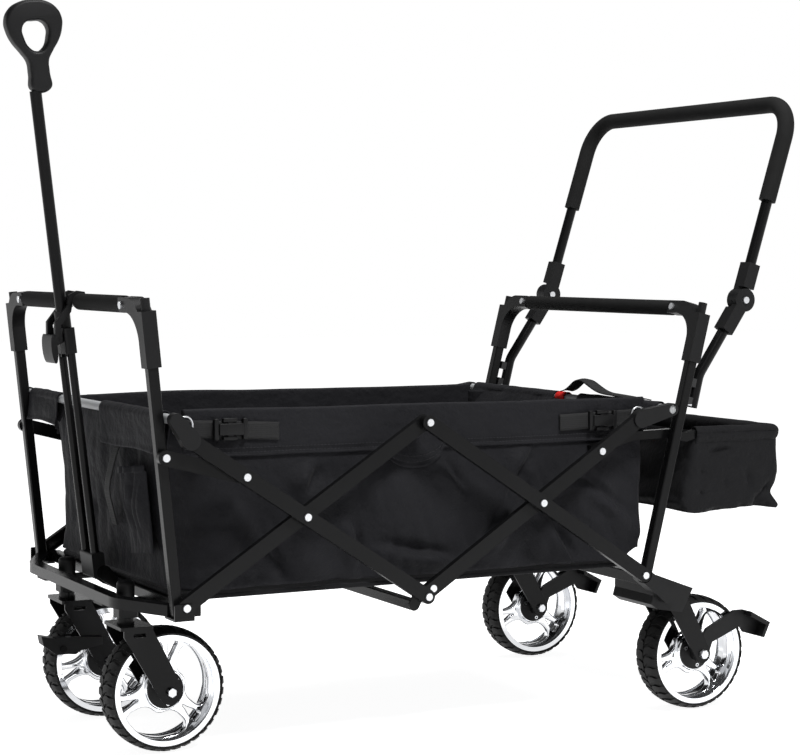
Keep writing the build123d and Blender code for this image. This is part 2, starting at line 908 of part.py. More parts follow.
with BuildPart() as front_links:
    link_length = hypot(front_link_end[0] - front_link_pivot[0],
                        front_link_end[1] - front_link_pivot[1])
    link_angle = degrees(atan2(front_link_end[1] - front_link_pivot[1],
                               front_link_end[0] - front_link_pivot[0]))
    with BuildSketch(side.offset(inner_layer)):
        with Locations(along(front_link_pivot, link_angle, link_length / 2)):
            SlotCenterToCenter(link_length, arm_height, rotation=link_angle)
        with Locations(front_link_pivot):
            Circle(loose_r, mode=Mode.SUBTRACT)
    extrude(amount=arm_depth)
    mirror(about=Plane.XZ)
save(front_links, "front_links")

# Fasteners of the front frame: foot pivots, link pivots and crossbar rivets.
with BuildPart() as front_fasteners:
    arm_rivet(front_pivot, inner_layer - side_gap, ear_y + foot_plate, 0, rivet_head)
    arm_rivet(front_link_pivot, inner_layer - side_gap, inner_face + running_fit, 0, rivet_head)
    with BuildSketch(leaning(front_bar, -bar_rivet_y, front_lean_dir).offset(-bracket_depth / 2)):
        Circle(rivet_head_r)
    extrude(amount=-rivet_head)
    mirror(about=Plane.XZ)
save(front_fasteners, "front_fasteners")

# ---------------------------------------------------------------- pull handle
handle_dir = (-lean_sin, lean_cos)
handle_foot = (handle_foot_x, handle_foot_z)


def up_handle(distance):
    """Point on the handle's axis at a distance from its foot."""
    return (
        handle_foot[0] + handle_dir[0] * distance,
        handle_foot[1] + handle_dir[1] * distance,
    )


def handle_section(distance):
    """Plane across the handle: x runs along +Y and the normal up the handle."""
    return end_on(up_handle(distance), 0, handle_dir)


handle_face = Plane(
    origin=(front_x + handle_foot[0], 0, handle_foot[1]),
    x_dir=(lean_cos, 0, lean_sin),
    z_dir=(0, -1, 0),
)
yoke_half = handle_block_width / 2 + soft_gap
yoke_rear = cross_x - base_tube_width / 2

with BuildPart() as handle_yoke:
    with BuildSketch(Plane(origin=(front_x + yoke_rear, 0, base_z),
                           x_dir=(0, 1, 0), z_dir=(1, 0, 0))):
        with Locations((0, base_tube_height / 2)):
            Rectangle(2 * yoke_half + 2 * foot_plate, base_tube_height)
    extrude(amount=-foot_plate)
    with BuildSketch(side.offset(yoke_half)):
        with Locations(handle_pivot):
            Circle(11)
        with Locations((yoke_rear - 2, base_z + base_tube_height / 2)):
            Rectangle(4, base_tube_height)
        make_hull()
        with Locations(handle_pivot):
            Circle(handle_pin_r, mode=Mode.SUBTRACT)
    extrude(amount=foot_plate)
    mirror(about=Plane.XZ)

with BuildPart() as handle_pin:
    pin_half = yoke_half + foot_plate
    with BuildSketch(side.offset(-pin_half)):
        with Locations(handle_pivot):
            Circle(handle_pin_r)
    extrude(amount=2 * pin_half)
    with BuildSketch(side.offset(pin_half)):
        with Locations(handle_pivot):
            Circle(rivet_head_r + 1)
    extrude(amount=rivet_head)
    with BuildSketch(side.offset(-pin_half)):
        with Locations(handle_pivot):
            Circle(rivet_head_r + 1)
    extrude(amount=-rivet_head)
save_together("handle_yoke", handle_yoke, handle_pin)

with BuildPart() as handle_pivot_block:
    with BuildSketch(handle_face.offset(-handle_block_width / 2)):
        with Locations((2, (handle_block[0] + handle_block[1]) / 2)):
            RectangleRounded(handle_block_depth, handle_block[1] - handle_block[0], 4)
        with Locations((handle_offset, 0)):
            Circle(handle_pin_r + running_fit, mode=Mode.SUBTRACT)
    extrude(amount=handle_block_width)
save(handle_pivot_block, "handle_pivot_block")

with BuildPart() as handle_twin_tubes:
    with BuildSketch(handle_section(handle_block[1])):
        with Locations((-twin_half, 0), (twin_half, 0)):
            Circle(twin_r)
    extrude(amount=twin_end - handle_block[1])
    with BuildSketch(handle_section(handle_block[1] + plug)):
        with Locations((-twin_half, 0), (twin_half, 0)):
            Circle(twin_r - tube_wall)
    extrude(amount=twin_end - handle_block[1] - 2 * plug, mode=Mode.SUBTRACT)
save(handle_twin_tubes, "handle_twin_tubes")

latch_outer = latch_half + soft_gap + latch_arm
latch_at = (-collar_depth / 2 - latch_pivot_gap, latch_pivot_s)

with BuildPart() as handle_collar:
    with BuildSketch(handle_section(twin_end)):
        RectangleRounded(collar_width, collar_depth, 5)
    extrude(amount=collar_end - twin_end)
    with BuildSketch(handle_section(collar_end)):
        Circle(neck_collar_r)
    extrude(amount=neck_collar_end - collar_end)
    with BuildSketch(handle_section(twin_end)):
        Circle(pull_tube_r + running_fit)
    extrude(amount=neck_collar_end - twin_end, mode=Mode.SUBTRACT)
    with BuildSketch(handle_face.offset(-latch_half)):
        with Locations((latch_at[0] + latch_lug_shift, latch_at[1])):
            Rectangle(2 * latch_pivot_gap + 2, latch_lug)
        with Locations(latch_at):
            Circle(latch_pin_r, mode=Mode.SUBTRACT)
    extrude(amount=2 * latch_half)
    with BuildSketch(handle_section(twin_end)):
        Circle(pull_tube_r + running_fit)
    extrude(amount=neck_collar_end - twin_end, mode=Mode.SUBTRACT)

bar_u = (front_bar[0] - handle_foot_x) * lean_cos + (front_bar_z - handle_foot_z) * lean_sin
bar_s = (front_bar_z - handle_foot_z) * lean_cos - (front_bar[0] - handle_foot_x) * lean_sin

with BuildPart() as latch_pin:
    with BuildSketch(handle_face.offset(-latch_outer - 1)):
        with Locations(latch_at):
            Circle(latch_pin_r)
    extrude(amount=2 * latch_outer + 2)
save_together("handle_collar", handle_collar, latch_pin)

hook_front = bar_u - bar_r - hook_gap
hook_top = bar_s + bar_r + hook_gap
hook_rear = bar_u + bar_r + hook_gap

def from_latch(points):
    """Move points measured from the latch's pivot into the handle's face."""
    return [(latch_at[0] + u, latch_at[1] + v) for u, v in points]


with BuildPart() as handle_latch:
    with BuildSketch(handle_face.offset(latch_half + soft_gap)):
        with BuildLine():
            Polyline(
                *from_latch(latch_root),
                (hook_front - 4, bar_s - 2 * hook_thick),
                (hook_front, bar_s),
                (hook_front + 2, hook_top - 2),
                (hook_front + 2 * hook_lip, hook_top),
                (hook_rear - 2, hook_top),
                (hook_rear, bar_s + hook_lip),
                (hook_rear + hook_lip, bar_s + hook_lip),
                (hook_rear + 2, hook_top + hook_thick - hook_lip),
                (bar_u, hook_top + hook_thick),
                (hook_front - hook_thick + 2, hook_top + 2),
                (hook_front - hook_thick, bar_s - 2),
                *from_latch(latch_back),
                close=True,
            )
        make_face()
        with Locations(latch_at):
            Circle(latch_pin_r + running_fit, mode=Mode.SUBTRACT)
    extrude(amount=latch_arm)
    mirror(about=Plane.XZ)
    with BuildSketch(handle_face.offset(-latch_outer)):
        with Locations(from_latch([latch_paddle_at])):
            Ellipse(*latch_paddle)
    extrude(amount=2 * latch_outer)
save(handle_latch, "handle_latch")

with BuildPart() as pull_tube:
    with BuildSketch(handle_section(pull_tube_start)):
        Circle(pull_tube_r)
    extrude(amount=pull_tube_end - pull_tube_start)
    with BuildSketch(handle_section(pull_tube_start + plug)):
        Circle(pull_tube_r - tube_wall)
    extrude(amount=pull_tube_end - pull_tube_start - 2 * plug, mode=Mode.SUBTRACT)
save(pull_tube, "pull_tube")

grip_low = grip_start + grip_neck
grip_high = grip_low + grip_height
grip_half = grip_width / 2
hole_half = grip_half - grip_side
with BuildPart() as d_grip:
    with BuildSketch(handle_face.offset(-grip_depth / 2)) as grip_outline:
        with BuildLine():
            Polyline(
                (-grip_collar_r, grip_start),
                (-grip_collar_r - 5, grip_low - 4),
                (-grip_half + 6, grip_low + 18),
                (-grip_half, grip_low + 40),
                (-grip_half, grip_high),
                (grip_half, grip_high),
                (grip_half, grip_low + 40),
                (grip_half - 6, grip_low + 18),
                (grip_collar_r + 5, grip_low - 4),
                (grip_collar_r, grip_start),
                close=True,
            )
        make_face()
        fillet(grip_outline.vertices().group_by(Axis.Y)[-1], grip_corner)
    extrude(amount=grip_depth)
    fillet(d_grip.edges().group_by(Axis.Y)[0] + d_grip.edges().group_by(Axis.Y)[-1], 5)
    with BuildSketch(handle_face.offset(-grip_depth)) as grip_hole:
        with BuildLine():
            Polyline(
                (-hole_half, grip_low + grip_hole_low + 10),
                (-hole_half, grip_high - grip_top),
                (hole_half, grip_high - grip_top),
                (hole_half, grip_low + grip_hole_low + 10),
                (0, grip_low + grip_hole_low - 4),
                close=True,
            )
        make_face()
        fillet(grip_hole.vertices(), 9)
    extrude(amount=2 * grip_depth, mode=Mode.SUBTRACT)
save(d_grip, "d_grip")


# ---------------------------------------------------------------- rear frame
with BuildPart() as rear_uprights:
    square_tube((rear_foot_x, rear_base_top), -upright_y, rear_lean_dir, rear_upright_length)
    mirror(about=Plane.XZ)

with BuildPart() as rear_crossbar:
    cross_tube(rear_bar, upright_y - bar_inset, bar_r, tube_wall)
save_together("rear_uprights", rear_uprights, rear_crossbar)

with BuildPart() as rear_base_tube:
    cross_box((rear_base_x, rear_base_top - rear_base[1] / 2), *rear_base, inner_layer, tube_wall)
save(rear_base_tube, "rear_base_tube")

# The rear forks hang from an inclined crown on the end of each foot.
axle = (wheelbase, wheel_r)
crown_top = (axle[0] + crown_high[0], axle[1] + crown_high[1])
crown_foot = (axle[0] + crown_low[0], axle[1] + crown_low[1])
crown_angle = degrees(atan2(crown_top[1] - crown_foot[1], crown_top[0] - crown_foot[0]))
crown_outer_top = along(crown_top, crown_angle - 90, crown_plate)
crown_outer_foot = along(crown_foot, crown_angle - 90, crown_plate)
base_rear = rear_base_x + rear_base[0] / 2
base_low = rear_base_top - rear_base[1]
toe = (rear_pivot[0] + rear_toe[0], rear_pivot[1] + rear_toe[1])


def foot_bar(depth):
    """Add the flat bar of a near foot, from the arm's pivot down to its toe."""
    with BuildSketch(side.offset(inner_layer)) as outline:
        with Locations(rear_pivot):
            Circle(arm_height / 2)
        with Locations(toe):
            Circle(rear_toe_r)
        make_hull()
    extrude(outline.sketch, amount=depth)


with BuildPart() as rear_feet:
    foot_bar(outer_face - inner_layer)
    with BuildSketch(side.offset(rear_track_half - fork_half)):
        Polygon(
            (base_rear, rear_base_top - 1),
            (base_rear + rear_box_shoulder[0], rear_base_top + rear_box_shoulder[1] - 8),
            crown_top,
            crown_foot,
            (base_rear + rear_box_sill[2][0], rear_base_top + rear_box_sill[2][1]),
            (base_rear + rear_box_sill[1][0], rear_base_top + rear_box_sill[1][1]),
            (base_rear + rear_box_sill[0][0], rear_base_top + rear_box_sill[0][1]),
            (base_rear + rear_box_sill[0][0], base_low),
            (base_rear, base_low),
            align=None,
        )
    extrude(amount=inner_face - rear_track_half + fork_half)
    with BuildSketch(side.offset(inner_layer)):
        with Locations(rear_pivot):
            Circle(loose_r)
    extrude(amount=arm_depth, mode=Mode.SUBTRACT)
    with BuildSketch(side.offset(inner_face)):
        with Locations(rear_pivot):
            Circle(arm_height / 2 + rear_foot_pivot_gap)
    extrude(amount=2 * arm_depth, mode=Mode.SUBTRACT)
    mirror(about=Plane.XZ)
save(rear_feet, "rear_feet")

with BuildPart() as rear_forks:
    with BuildSketch(side.offset(rear_track_half - fork_half)):
        Polygon(crown_top, crown_foot, crown_outer_foot, crown_outer_top, align=None)
    extrude(amount=2 * fork_half)
    fork_legs(-rear_track_half, [crown_top, crown_foot, crown_outer_foot, crown_outer_top],
              axle, rear_fork_end_r)
    mirror(about=Plane.XZ)
save(rear_forks, "rear_forks")

with BuildPart() as rear_axles:
    wheel_bolt(wheelbase, -rear_track_half)
    mirror(about=Plane.XZ)


def from_axle(points):
    """Move points measured from the rear axle into the side view."""
    return [(axle[0] + x, axle[1] + z) for x, z in points]


def make_pedal(y, place):
    """Write one brake pedal: a bent lever on the axle with a wider foot pad."""
    with BuildPart() as pedal:
        with BuildSketch(side.offset(-y + pedal_inner)):
            with Locations(axle):
                Circle(pedal_hub_r)
            Polygon(*from_axle(pedal_side), align=None)
            with Locations(axle):
                Circle(axle_r + running_fit, mode=Mode.SUBTRACT)
        extrude(amount=pedal_depth)
        with BuildSketch(side.offset(-y + pedal_inner + pedal_depth)):
            Polygon(*from_axle(pedal_tread), align=None)
        extrude(amount=pedal_foot)
    save(pedal, f"brake_pedal_{place}")


make_pedal(-rear_track_half, "near")
make_pedal(rear_track_half, "far")

# ---------------------------------------------------------------- push handle
elbow_gap = 1.5
elbow_split = 0.15
lower_angle = degrees(atan2(elbow[1] - push_bend[1], elbow[0] - push_bend[0])) + 180
upper_angle = degrees(atan2(push_top[1] - elbow[1], push_top[0] - elbow[0]))
push_length = hypot(push_top[0] - elbow[0], push_top[1] - elbow[1])
push_dir = (cos(radians(upper_angle)), sin(radians(upper_angle)))
lower_end = along(elbow, lower_angle, elbow_r + elbow_gap)
elbow_inner = push_y - elbow_half
elbow_outer = push_y + elbow_half

with BuildPart() as push_lower_tubes:
    with BuildLine(side.offset(push_y)) as lower_route:
        FilletPolyline(push_low, push_bend, lower_end, radius=push_bend_r)
    with BuildSketch(Plane(origin=lower_route.line @ 0, z_dir=lower_route.line % 0)):
        Circle(push_tube_r)
    sweep()
    mirror(about=Plane.XZ)
save(push_lower_tubes, "push_lower_tubes")

with BuildPart() as push_bar:
    with BuildLine(leaning(elbow, 0, push_dir)) as push_route:
        FilletPolyline(
            (-push_y, elbow_r + elbow_gap),
            (-push_y, push_length),
            (push_y, push_length),
            (push_y, elbow_r + elbow_gap),
            radius=push_corner_r,
        )
    with BuildSketch(Plane(origin=push_route.line @ 0, z_dir=push_route.line % 0)):
        Circle(push_tube_r)
        Circle(push_tube_r - tube_wall, mode=Mode.SUBTRACT)
    sweep()
save(push_bar, "push_bar")

with BuildPart() as push_grip:
    with BuildLine(leaning(elbow, 0, push_dir)) as grip_route:
        FilletPolyline(
            (-push_y, foam_start),
            (-push_y, push_length),
            (push_y, push_length),
            (push_y, foam_start),
            radius=push_corner_r,
        )
    with BuildSketch(Plane(origin=grip_route.line @ 0, z_dir=grip_route.line % 0)):
        Circle(push_foam_r)
        Circle(push_tube_r, mode=Mode.SUBTRACT)
    sweep()
save(push_grip, "push_grip")


def elbow_half_piece(angle, half_from, label, bore):
    """Write one half of the elbow joint with the socket round its tube."""
    half = elbow_half - elbow_split
    reach = elbow_r + elbow_gap
    mid = (reach + elbow_socket) / 2
    tube_dir = (cos(radians(angle)), sin(radians(angle)))
    with BuildPart() as piece:
        with BuildSketch(side.offset(half_from)):
            with Locations(elbow):
                Circle(elbow_r)
            with Locations(along(elbow, angle, reach / 2 + 1)):
                Rectangle(reach + 2, 2 * elbow_socket_r, rotation=angle)
            with Locations(elbow):
                Circle(bore, mode=Mode.SUBTRACT)
        extrude(amount=half)
        with BuildSketch(side.offset(elbow_inner)):
            with Locations(along(elbow, angle, mid)):
                Rectangle(elbow_socket - reach, 2 * elbow_socket_r, rotation=angle)
        extrude(amount=2 * elbow_half)
        with BuildSketch(end_on(along(elbow, angle, reach), -push_y, tube_dir)):
            Circle(push_tube_r)
        extrude(amount=elbow_socket, mode=Mode.SUBTRACT)
        mirror(about=Plane.XZ)
    save(piece, label)


elbow_half_piece(lower_angle, push_y + elbow_split, "elbow_lower", elbow_pin_r)
elbow_half_piece(upper_angle, elbow_inner, "elbow_upper", elbow_pin_r + running_fit)

# Fasteners of the rear frame: elbow pins, basket pivots, tube saddles, bar rivets.
with BuildPart() as rear_fasteners:
    side_disc(elbow, elbow_inner - running_fit, elbow_outer, elbow_pin_r)
    side_disc(elbow, elbow_outer, elbow_outer + rivet_head, elbow_head_r)
    side_disc(elbow, elbow_inner - running_fit - rivet_head, elbow_inner - running_fit,
              elbow_head_r)
    side_disc(basket_pivot, upright_y - upright / 2 - side_gap - basket_bar[1] - running_fit,
              upright_y - upright / 2, rivet_r)
    side_disc(basket_pivot,
              upright_y - upright / 2 - side_gap - basket_bar[1] - running_fit - rivet_head + 1,
              upright_y - upright / 2 - side_gap - basket_bar[1] - running_fit, rivet_head_r)
    with BuildSketch(leaning(rear_bar, -bar_rivet_y, rear_lean_dir).offset(-bracket_depth / 2)):
        Circle(rivet_head_r)
    extrude(amount=-rivet_head)
    mirror(about=Plane.XZ)

saddle = (12, 14)
saddle_z = (518, 548)

with BuildPart() as push_saddles:
    for z in saddle_z:
        start = on_upright(rear_foot_x, rear_base_top, rear_lean_dir, z)
        back = along(start, -rear_lean, upright / 2)
        with BuildSketch(leaning(back, -push_y - 1, rear_lean_dir)):
            Rectangle(*saddle)
        extrude(amount=push_tube_r + 8)
    with BuildLine(side.offset(push_y)) as saddle_route:
        FilletPolyline(push_low, push_bend, lower_end, radius=push_bend_r)
    with BuildSketch(Plane(origin=saddle_route.line @ 0, z_dir=saddle_route.line % 0)):
        Circle(push_tube_r)
    sweep(mode=Mode.SUBTRACT)
    mirror(about=Plane.XZ)
save_together("rear_fasteners", rear_fasteners, push_saddles, rear_axles)

# ---------------------------------------------------------------- basket
basket_inner = upright_y - upright / 2 - side_gap - basket_bar[1]
basket_tail = basket_rear - basket_bar[1] / 2

with BuildPart() as basket_frame:
    with BuildSketch(side.offset(basket_inner)):
        with BuildLine():
            Polyline(*basket_link, (basket_rear, basket_z))
        trace(line_width=basket_bar[0])
        with Locations(basket_pivot):
            Circle(loose_r, mode=Mode.SUBTRACT)
    extrude(amount=basket_bar[1])
    mirror(about=Plane.XZ)
    with BuildSketch(ground.offset(basket_z - basket_bar[0] / 2)):
        with Locations((basket_tail, 0)):
            Rectangle(basket_bar[1], 2 * basket_inner + 2)
    extrude(amount=basket_bar[0])
save(basket_frame, "basket_frame")

bag_half = basket_inner - soft_gap
bag_tail = basket_tail - basket_bar[1] / 2 - soft_gap
with BuildPart() as basket_bag:
    with BuildSketch(side.offset(-bag_half)):
        with BuildLine():
            Polyline(
                (bag_front, basket_z),
                (bag_front, bag_bottom + 12),
                (bag_front + 12, bag_bottom),
                (bag_rear_low - 10, bag_bottom - 2),
                (bag_rear_low, bag_bottom + 10),
                (bag_tail, basket_z - basket_bar[0]),
                (bag_tail, basket_z),
                close=True,
            )
        make_face()
    extrude(amount=2 * bag_half)
    with BuildSketch(side.offset(-bag_half + bag_wall)):
        with BuildLine():
            Polyline(
                (bag_front + bag_wall, basket_z + 1),
                (bag_front + bag_wall, bag_bottom + 12),
                (bag_front + 14, bag_bottom + bag_floor),
                (bag_rear_low - 12, bag_bottom + bag_floor),
                (bag_rear_low - bag_wall, bag_bottom + 14),
                (bag_tail - bag_wall, basket_z - basket_bar[0]),
                (bag_tail - bag_wall, basket_z + 1),
                close=True,
            )
        make_face()
    extrude(amount=2 * (bag_half - bag_wall), mode=Mode.SUBTRACT)
save(basket_bag, "basket_bag")

# ---------------------------------------------------------------- tub
tub_front_low = cross_x - base_tube_width / 2 + soft_gap
tub_front_high = front_rim[0] + rim_tube_r + soft_gap
tub_rear_high = rear_rim[0] - rim_tube_r - soft_gap
wall = tub_wall

with BuildPart() as tub_front_panel:
    with BuildSketch(side.offset(-tub_half)):
        with BuildLine():
            Polyline(
                (tub_front_low, tub_floor_z),
                (tub_front_low + wall, tub_floor_z),
                (tub_front_high + 1 + wall, tub_top),
                (tub_front_high + wall, front_rim[1]),
                (tub_front_high, front_rim[1]),
                (tub_front_high + 1, tub_top),
                close=True,
            )
        make_face()
    extrude(amount=2 * tub_half)
save(tub_front_panel, "tub_front_panel")

with BuildPart() as tub_rear_panel:
    with BuildSketch(side.offset(-tub_half)):
        with BuildLine():
            Polyline(
                (tub_rear_low - wall, tub_floor_z),
                (tub_rear_low, tub_floor_z),
                tub_rear_knee,
                (tub_rear_high, rear_rim[1]),
                (tub_rear_high - wall, rear_rim[1]),
                (tub_rear_knee[0] - wall, tub_rear_knee[1] + 1),
                close=True,
            )
        make_face()
    extrude(amount=2 * tub_half)

with BuildPart() as tub_side_panels:
    with BuildSketch(side.offset(tub_half - wall)):
        with BuildLine():
            Polyline(
                (tub_front_low + wall + soft_gap, tub_floor_z),
                (tub_rear_low - wall - soft_gap, tub_floor_z),
                (tub_rear_knee[0] - wall - soft_gap - 1, tub_rear_knee[1] + 1),
                (tub_rear_high - wall - soft_gap - 1, tub_side_rear),
                (tub_front_high + 1 + wall + soft_gap, tub_side_front),
                close=True,
            )
        make_face()
    extrude(amount=wall)
    mirror(about=Plane.XZ)
save_together("tub_walls", tub_side_panels, tub_rear_panel)

with BuildPart() as tub_floor:
    with BuildSketch(ground.offset(tub_floor_z)):
        floor_front = tub_front_low + wall + soft_gap
        floor_rear = tub_rear_low - wall - soft_gap
        with Locations(((floor_front + floor_rear) / 2, 0)):
            Rectangle(floor_rear - floor_front, 2 * (tub_half - wall - soft_gap))
    extrude(amount=tub_board)
save(tub_floor, "tub_floor")
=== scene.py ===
import math

import bmesh
import bpy
from mathutils import Matrix, Vector, noise


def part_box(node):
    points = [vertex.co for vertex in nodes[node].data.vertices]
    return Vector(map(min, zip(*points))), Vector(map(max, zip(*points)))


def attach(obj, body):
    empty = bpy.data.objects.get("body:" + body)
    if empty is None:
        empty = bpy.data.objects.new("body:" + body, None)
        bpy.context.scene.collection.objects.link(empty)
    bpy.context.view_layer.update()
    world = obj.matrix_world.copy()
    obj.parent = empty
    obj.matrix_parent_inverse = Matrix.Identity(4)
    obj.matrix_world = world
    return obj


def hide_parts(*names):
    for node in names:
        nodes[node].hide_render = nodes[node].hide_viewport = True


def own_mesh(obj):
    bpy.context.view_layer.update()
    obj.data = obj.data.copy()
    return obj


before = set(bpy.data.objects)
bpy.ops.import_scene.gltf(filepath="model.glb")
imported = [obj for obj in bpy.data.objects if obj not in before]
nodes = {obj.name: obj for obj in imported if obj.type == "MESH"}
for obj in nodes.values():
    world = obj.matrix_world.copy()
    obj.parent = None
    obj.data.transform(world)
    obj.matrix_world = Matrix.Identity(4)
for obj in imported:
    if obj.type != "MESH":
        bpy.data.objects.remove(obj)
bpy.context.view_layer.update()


# ---------------------------------------------------------------- view and light
# The wagon stands on a plain white sweep, seen from its front left at waist height.
# Three soft boxes and a pale room light it.
def middle(node):
    """Centre of a CAD node's box."""
    low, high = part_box(node)
    return (low + high) / 2


def extent(node):
    """Length, width and height of a CAD node's box."""
    low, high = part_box(node)
    return high - low


front_axle_x = middle("tyre_front_near").x
camera_at = Vector((front_axle_x - 1.1071, -2.9263, 0.7320))
camera_turn = math.radians(-28.403)
camera_rise = math.radians(3.214)
camera_roll = Matrix.Rotation(math.radians(0.365), 4, "Z")
camera_back = Vector((
    math.sin(camera_turn) * math.cos(camera_rise),
    -math.cos(camera_turn) * math.cos(camera_rise),
    math.sin(camera_rise),
))

camera = bpy.data.objects.new("camera", bpy.data.cameras.new("camera"))
camera.data.sensor_width = 36
camera.data.lens = 90.225
camera.data.clip_end = 60
camera_aim = camera_back.to_track_quat("Z", "Y").to_matrix().to_4x4()
camera.matrix_world = Matrix.Translation(camera_at) @ camera_aim @ camera_roll
bpy.context.scene.collection.objects.link(camera)
bpy.context.scene.camera = camera
bpy.context.scene.view_settings.view_transform = "Standard"


class Number:
    """A shader value that takes part in Python arithmetic."""

    def __init__(self, finish, socket):
        self.finish = finish
        self.socket = socket

    def maths(self, operation, *values):
        return self.finish.node("ShaderNodeMath", {"operation": operation}, values)

    def sine(self):
        return self.maths("SINE", self)

    def __add__(self, other):
        return self.maths("ADD", self, other)

    def __rsub__(self, other):
        return self.maths("SUBTRACT", other, self)

    def __mul__(self, other):
        return self.maths("MULTIPLY", self, other)

    def __truediv__(self, other):
        return self.maths("DIVIDE", self, other)

    __radd__ = __add__
    __rmul__ = __mul__


class Finish:
    """A node tree with one way to add a node, feed its sockets and read its output."""

    def __init__(self, name, tree=None):
        if tree is None:
            self.material = bpy.data.materials.new(name)
            self.material.use_nodes = True
            tree = self.material.node_tree
        self.tree = tree

    def node(self, kind, settings=None, inputs=(), output=0):
        """Add a node: settings first, then the values or links of its sockets."""
        node = self.tree.nodes.new(kind)
        for key, value in (settings or {}).items():
            setattr(node, key, value)
        pairs = inputs.items() if isinstance(inputs, dict) else enumerate(inputs)
        for key, value in pairs:
            self.feed(node.inputs[key], value)
        return Number(self, node.outputs[output])

    def feed(self, socket, value):
        """Link a Number to a socket, or set the socket's own value."""
        if isinstance(value, Number):
            self.tree.links.new(value.socket, socket)
        else:
            socket.default_value = value

    def surface(self, **values):
        """Feed the Principled shader; a name's underscores stand for spaces."""
        shader = self.tree.nodes["Principled BSDF"]
        for key, value in values.items():
            self.feed(shader.inputs[key.replace("_", " ")], value)
        return self.material

    def varied(self, factor, dark, pale, rough, spread, **values):
        """A surface that goes from one colour to another, and gets rougher, with a factor."""
        return self.surface(Base_Color=self.mix(factor, (*dark, 1), (*pale, 1)),
                            Roughness=rough + spread * factor, **values)

    def place(self):
        """Object coordinates, in metres."""
        return self.node("ShaderNodeTexCoord", output="Object")

    def axes(self):
        """The three object coordinates as numbers."""
        split = self.tree.nodes.new("ShaderNodeSeparateXYZ")
        self.feed(split.inputs[0], self.place())
        return [Number(self, axis) for axis in split.outputs]

    def rays(self, *kinds):
        """1 for rays of any of these kinds, else 0."""
        path = self.tree.nodes.new("ShaderNodeLightPath")
        found, *others = [Number(self, path.outputs[f"Is {kind} Ray"]) for kind in kinds]
        for other in others:
            found = found.maths("MAXIMUM", found, other)
        return found

    def noise(self, scale, detail=3, roughness=0.5):
        """Cloudy noise from 0 to 1; scale is its features per metre."""
        return self.node("ShaderNodeTexNoise", {}, {
            "Vector": self.place(), "Scale": scale, "Detail": detail, "Roughness": roughness})

    def mix(self, factor, first, second):
        """A colour between two colours."""
        return self.node("ShaderNodeMix", {"data_type": "RGBA"}, {0: factor, 6: first, 7: second}, 2)

    def bump(self, height, depth, strength=1.0, over=None):
        """A normal from a height that runs from 0 to 1, depth metres deep."""
        inputs = {"Height": height, "Distance": depth, "Strength": strength}
        if over is not None:
            inputs["Normal"] = over
        return self.node("ShaderNodeBump", {}, inputs)


white = (1, 1, 1, 1)
room = (0.80, 0.81, 0.83, 1)
room_light = 0.20
ceiling_cut = 0.94
world = bpy.data.worlds.new("studio")
world.use_nodes = True
bpy.context.scene.world = world
sky = Finish("sky", world.node_tree)
direct = sky.rays("Camera", "Glossy", "Transmission")
aim = sky.node("ShaderNodeTexCoord", output="Generated")
rise = sky.node("ShaderNodeSeparateXYZ", {}, [aim], "Z")
ceiling = sky.rays("Glossy") * sky.node("ShaderNodeMapRange", {"interpolation_type": "SMOOTHSTEP"}, {
    "Value": rise, "From Min": 0.12, "From Max": 0.34})
dark = ceiling.maths("MINIMUM", ceiling, ceiling_cut)
background = world.node_tree.nodes["Background"]
sky.feed(background.inputs["Color"], sky.mix(direct, room, white))
sky.feed(background.inputs["Strength"], (room_light + (1 - room_light) * direct) * (1 - dark))


def soft_box(name, at, towards, width, height, power):
    """Add a rectangular studio light."""
    lamp = bpy.data.lights.new(name, "AREA")
    lamp.shape = "RECTANGLE"
    lamp.size = width
    lamp.size_y = height
    lamp.energy = power
    holder = bpy.data.objects.new(name, lamp)
    aim = (Vector(at) - Vector(towards)).to_track_quat("Z", "Y").to_matrix().to_4x4()
    holder.matrix_world = Matrix.Translation(Vector(at)) @ aim
    bpy.context.scene.collection.objects.link(holder)


tub_middle = (0, 0, 0.45)
soft_box("key_light", (0.3, -2.1, 3.2), tub_middle, 1.0, 0.7, 100)
soft_box("fill_light", (-2.4, -2.8, 1.8), tub_middle, 1.6, 1.6, 5)
soft_box("top_light", (0.2, 0.6, 3.4), tub_middle, 2.6, 1.6, 45)

floor_half = 15
floor_mesh = bpy.data.meshes.new("studio_floor")
build = bmesh.new()
bmesh.ops.create_grid(build, x_segments=1, y_segments=1, size=floor_half)
build.to_mesh(floor_mesh)
build.free()
studio_floor = bpy.data.objects.new("studio_floor", floor_mesh)
bpy.context.scene.collection.objects.link(studio_floor)
sweep = Finish("white_sweep")
sweep.surface(
    Base_Color=(0.82, 0.82, 0.82, 1),
    Roughness=0.9,
    Specular_IOR_Level=0.0,
    Emission_Color=sweep.mix(sweep.rays("Camera", "Glossy"), (0, 0, 0, 1), (0.92, 0.92, 0.92, 1)),
    Emission_Strength=1.0,
)
floor_mesh.materials.append(sweep.material)


# ---------------------------------------------------------------- black steel frame
# Square and round steel tubes, channel arms and pressed forks, all powder coated in
# satin black. The coat is smooth, with a faint orange peel.
def powder_coat():
    coat = Finish("powder_coat")
    peel = coat.noise(1400, 2)
    cloud = coat.noise(9, 3)
    return coat.varied(cloud, (0.0045, 0.0045, 0.0048), (0.0075, 0.0075, 0.0078), 0.20, 0.10,
                       Specular_IOR_Level=0.13, Normal=coat.bump(peel, 0.00015, 0.35))


def dress(material, *names):
    """Give CAD nodes a material in place of their plain one."""
    for name in names:
        mesh = nodes[name].data
        mesh.materials.clear()
        mesh.materials.append(material)


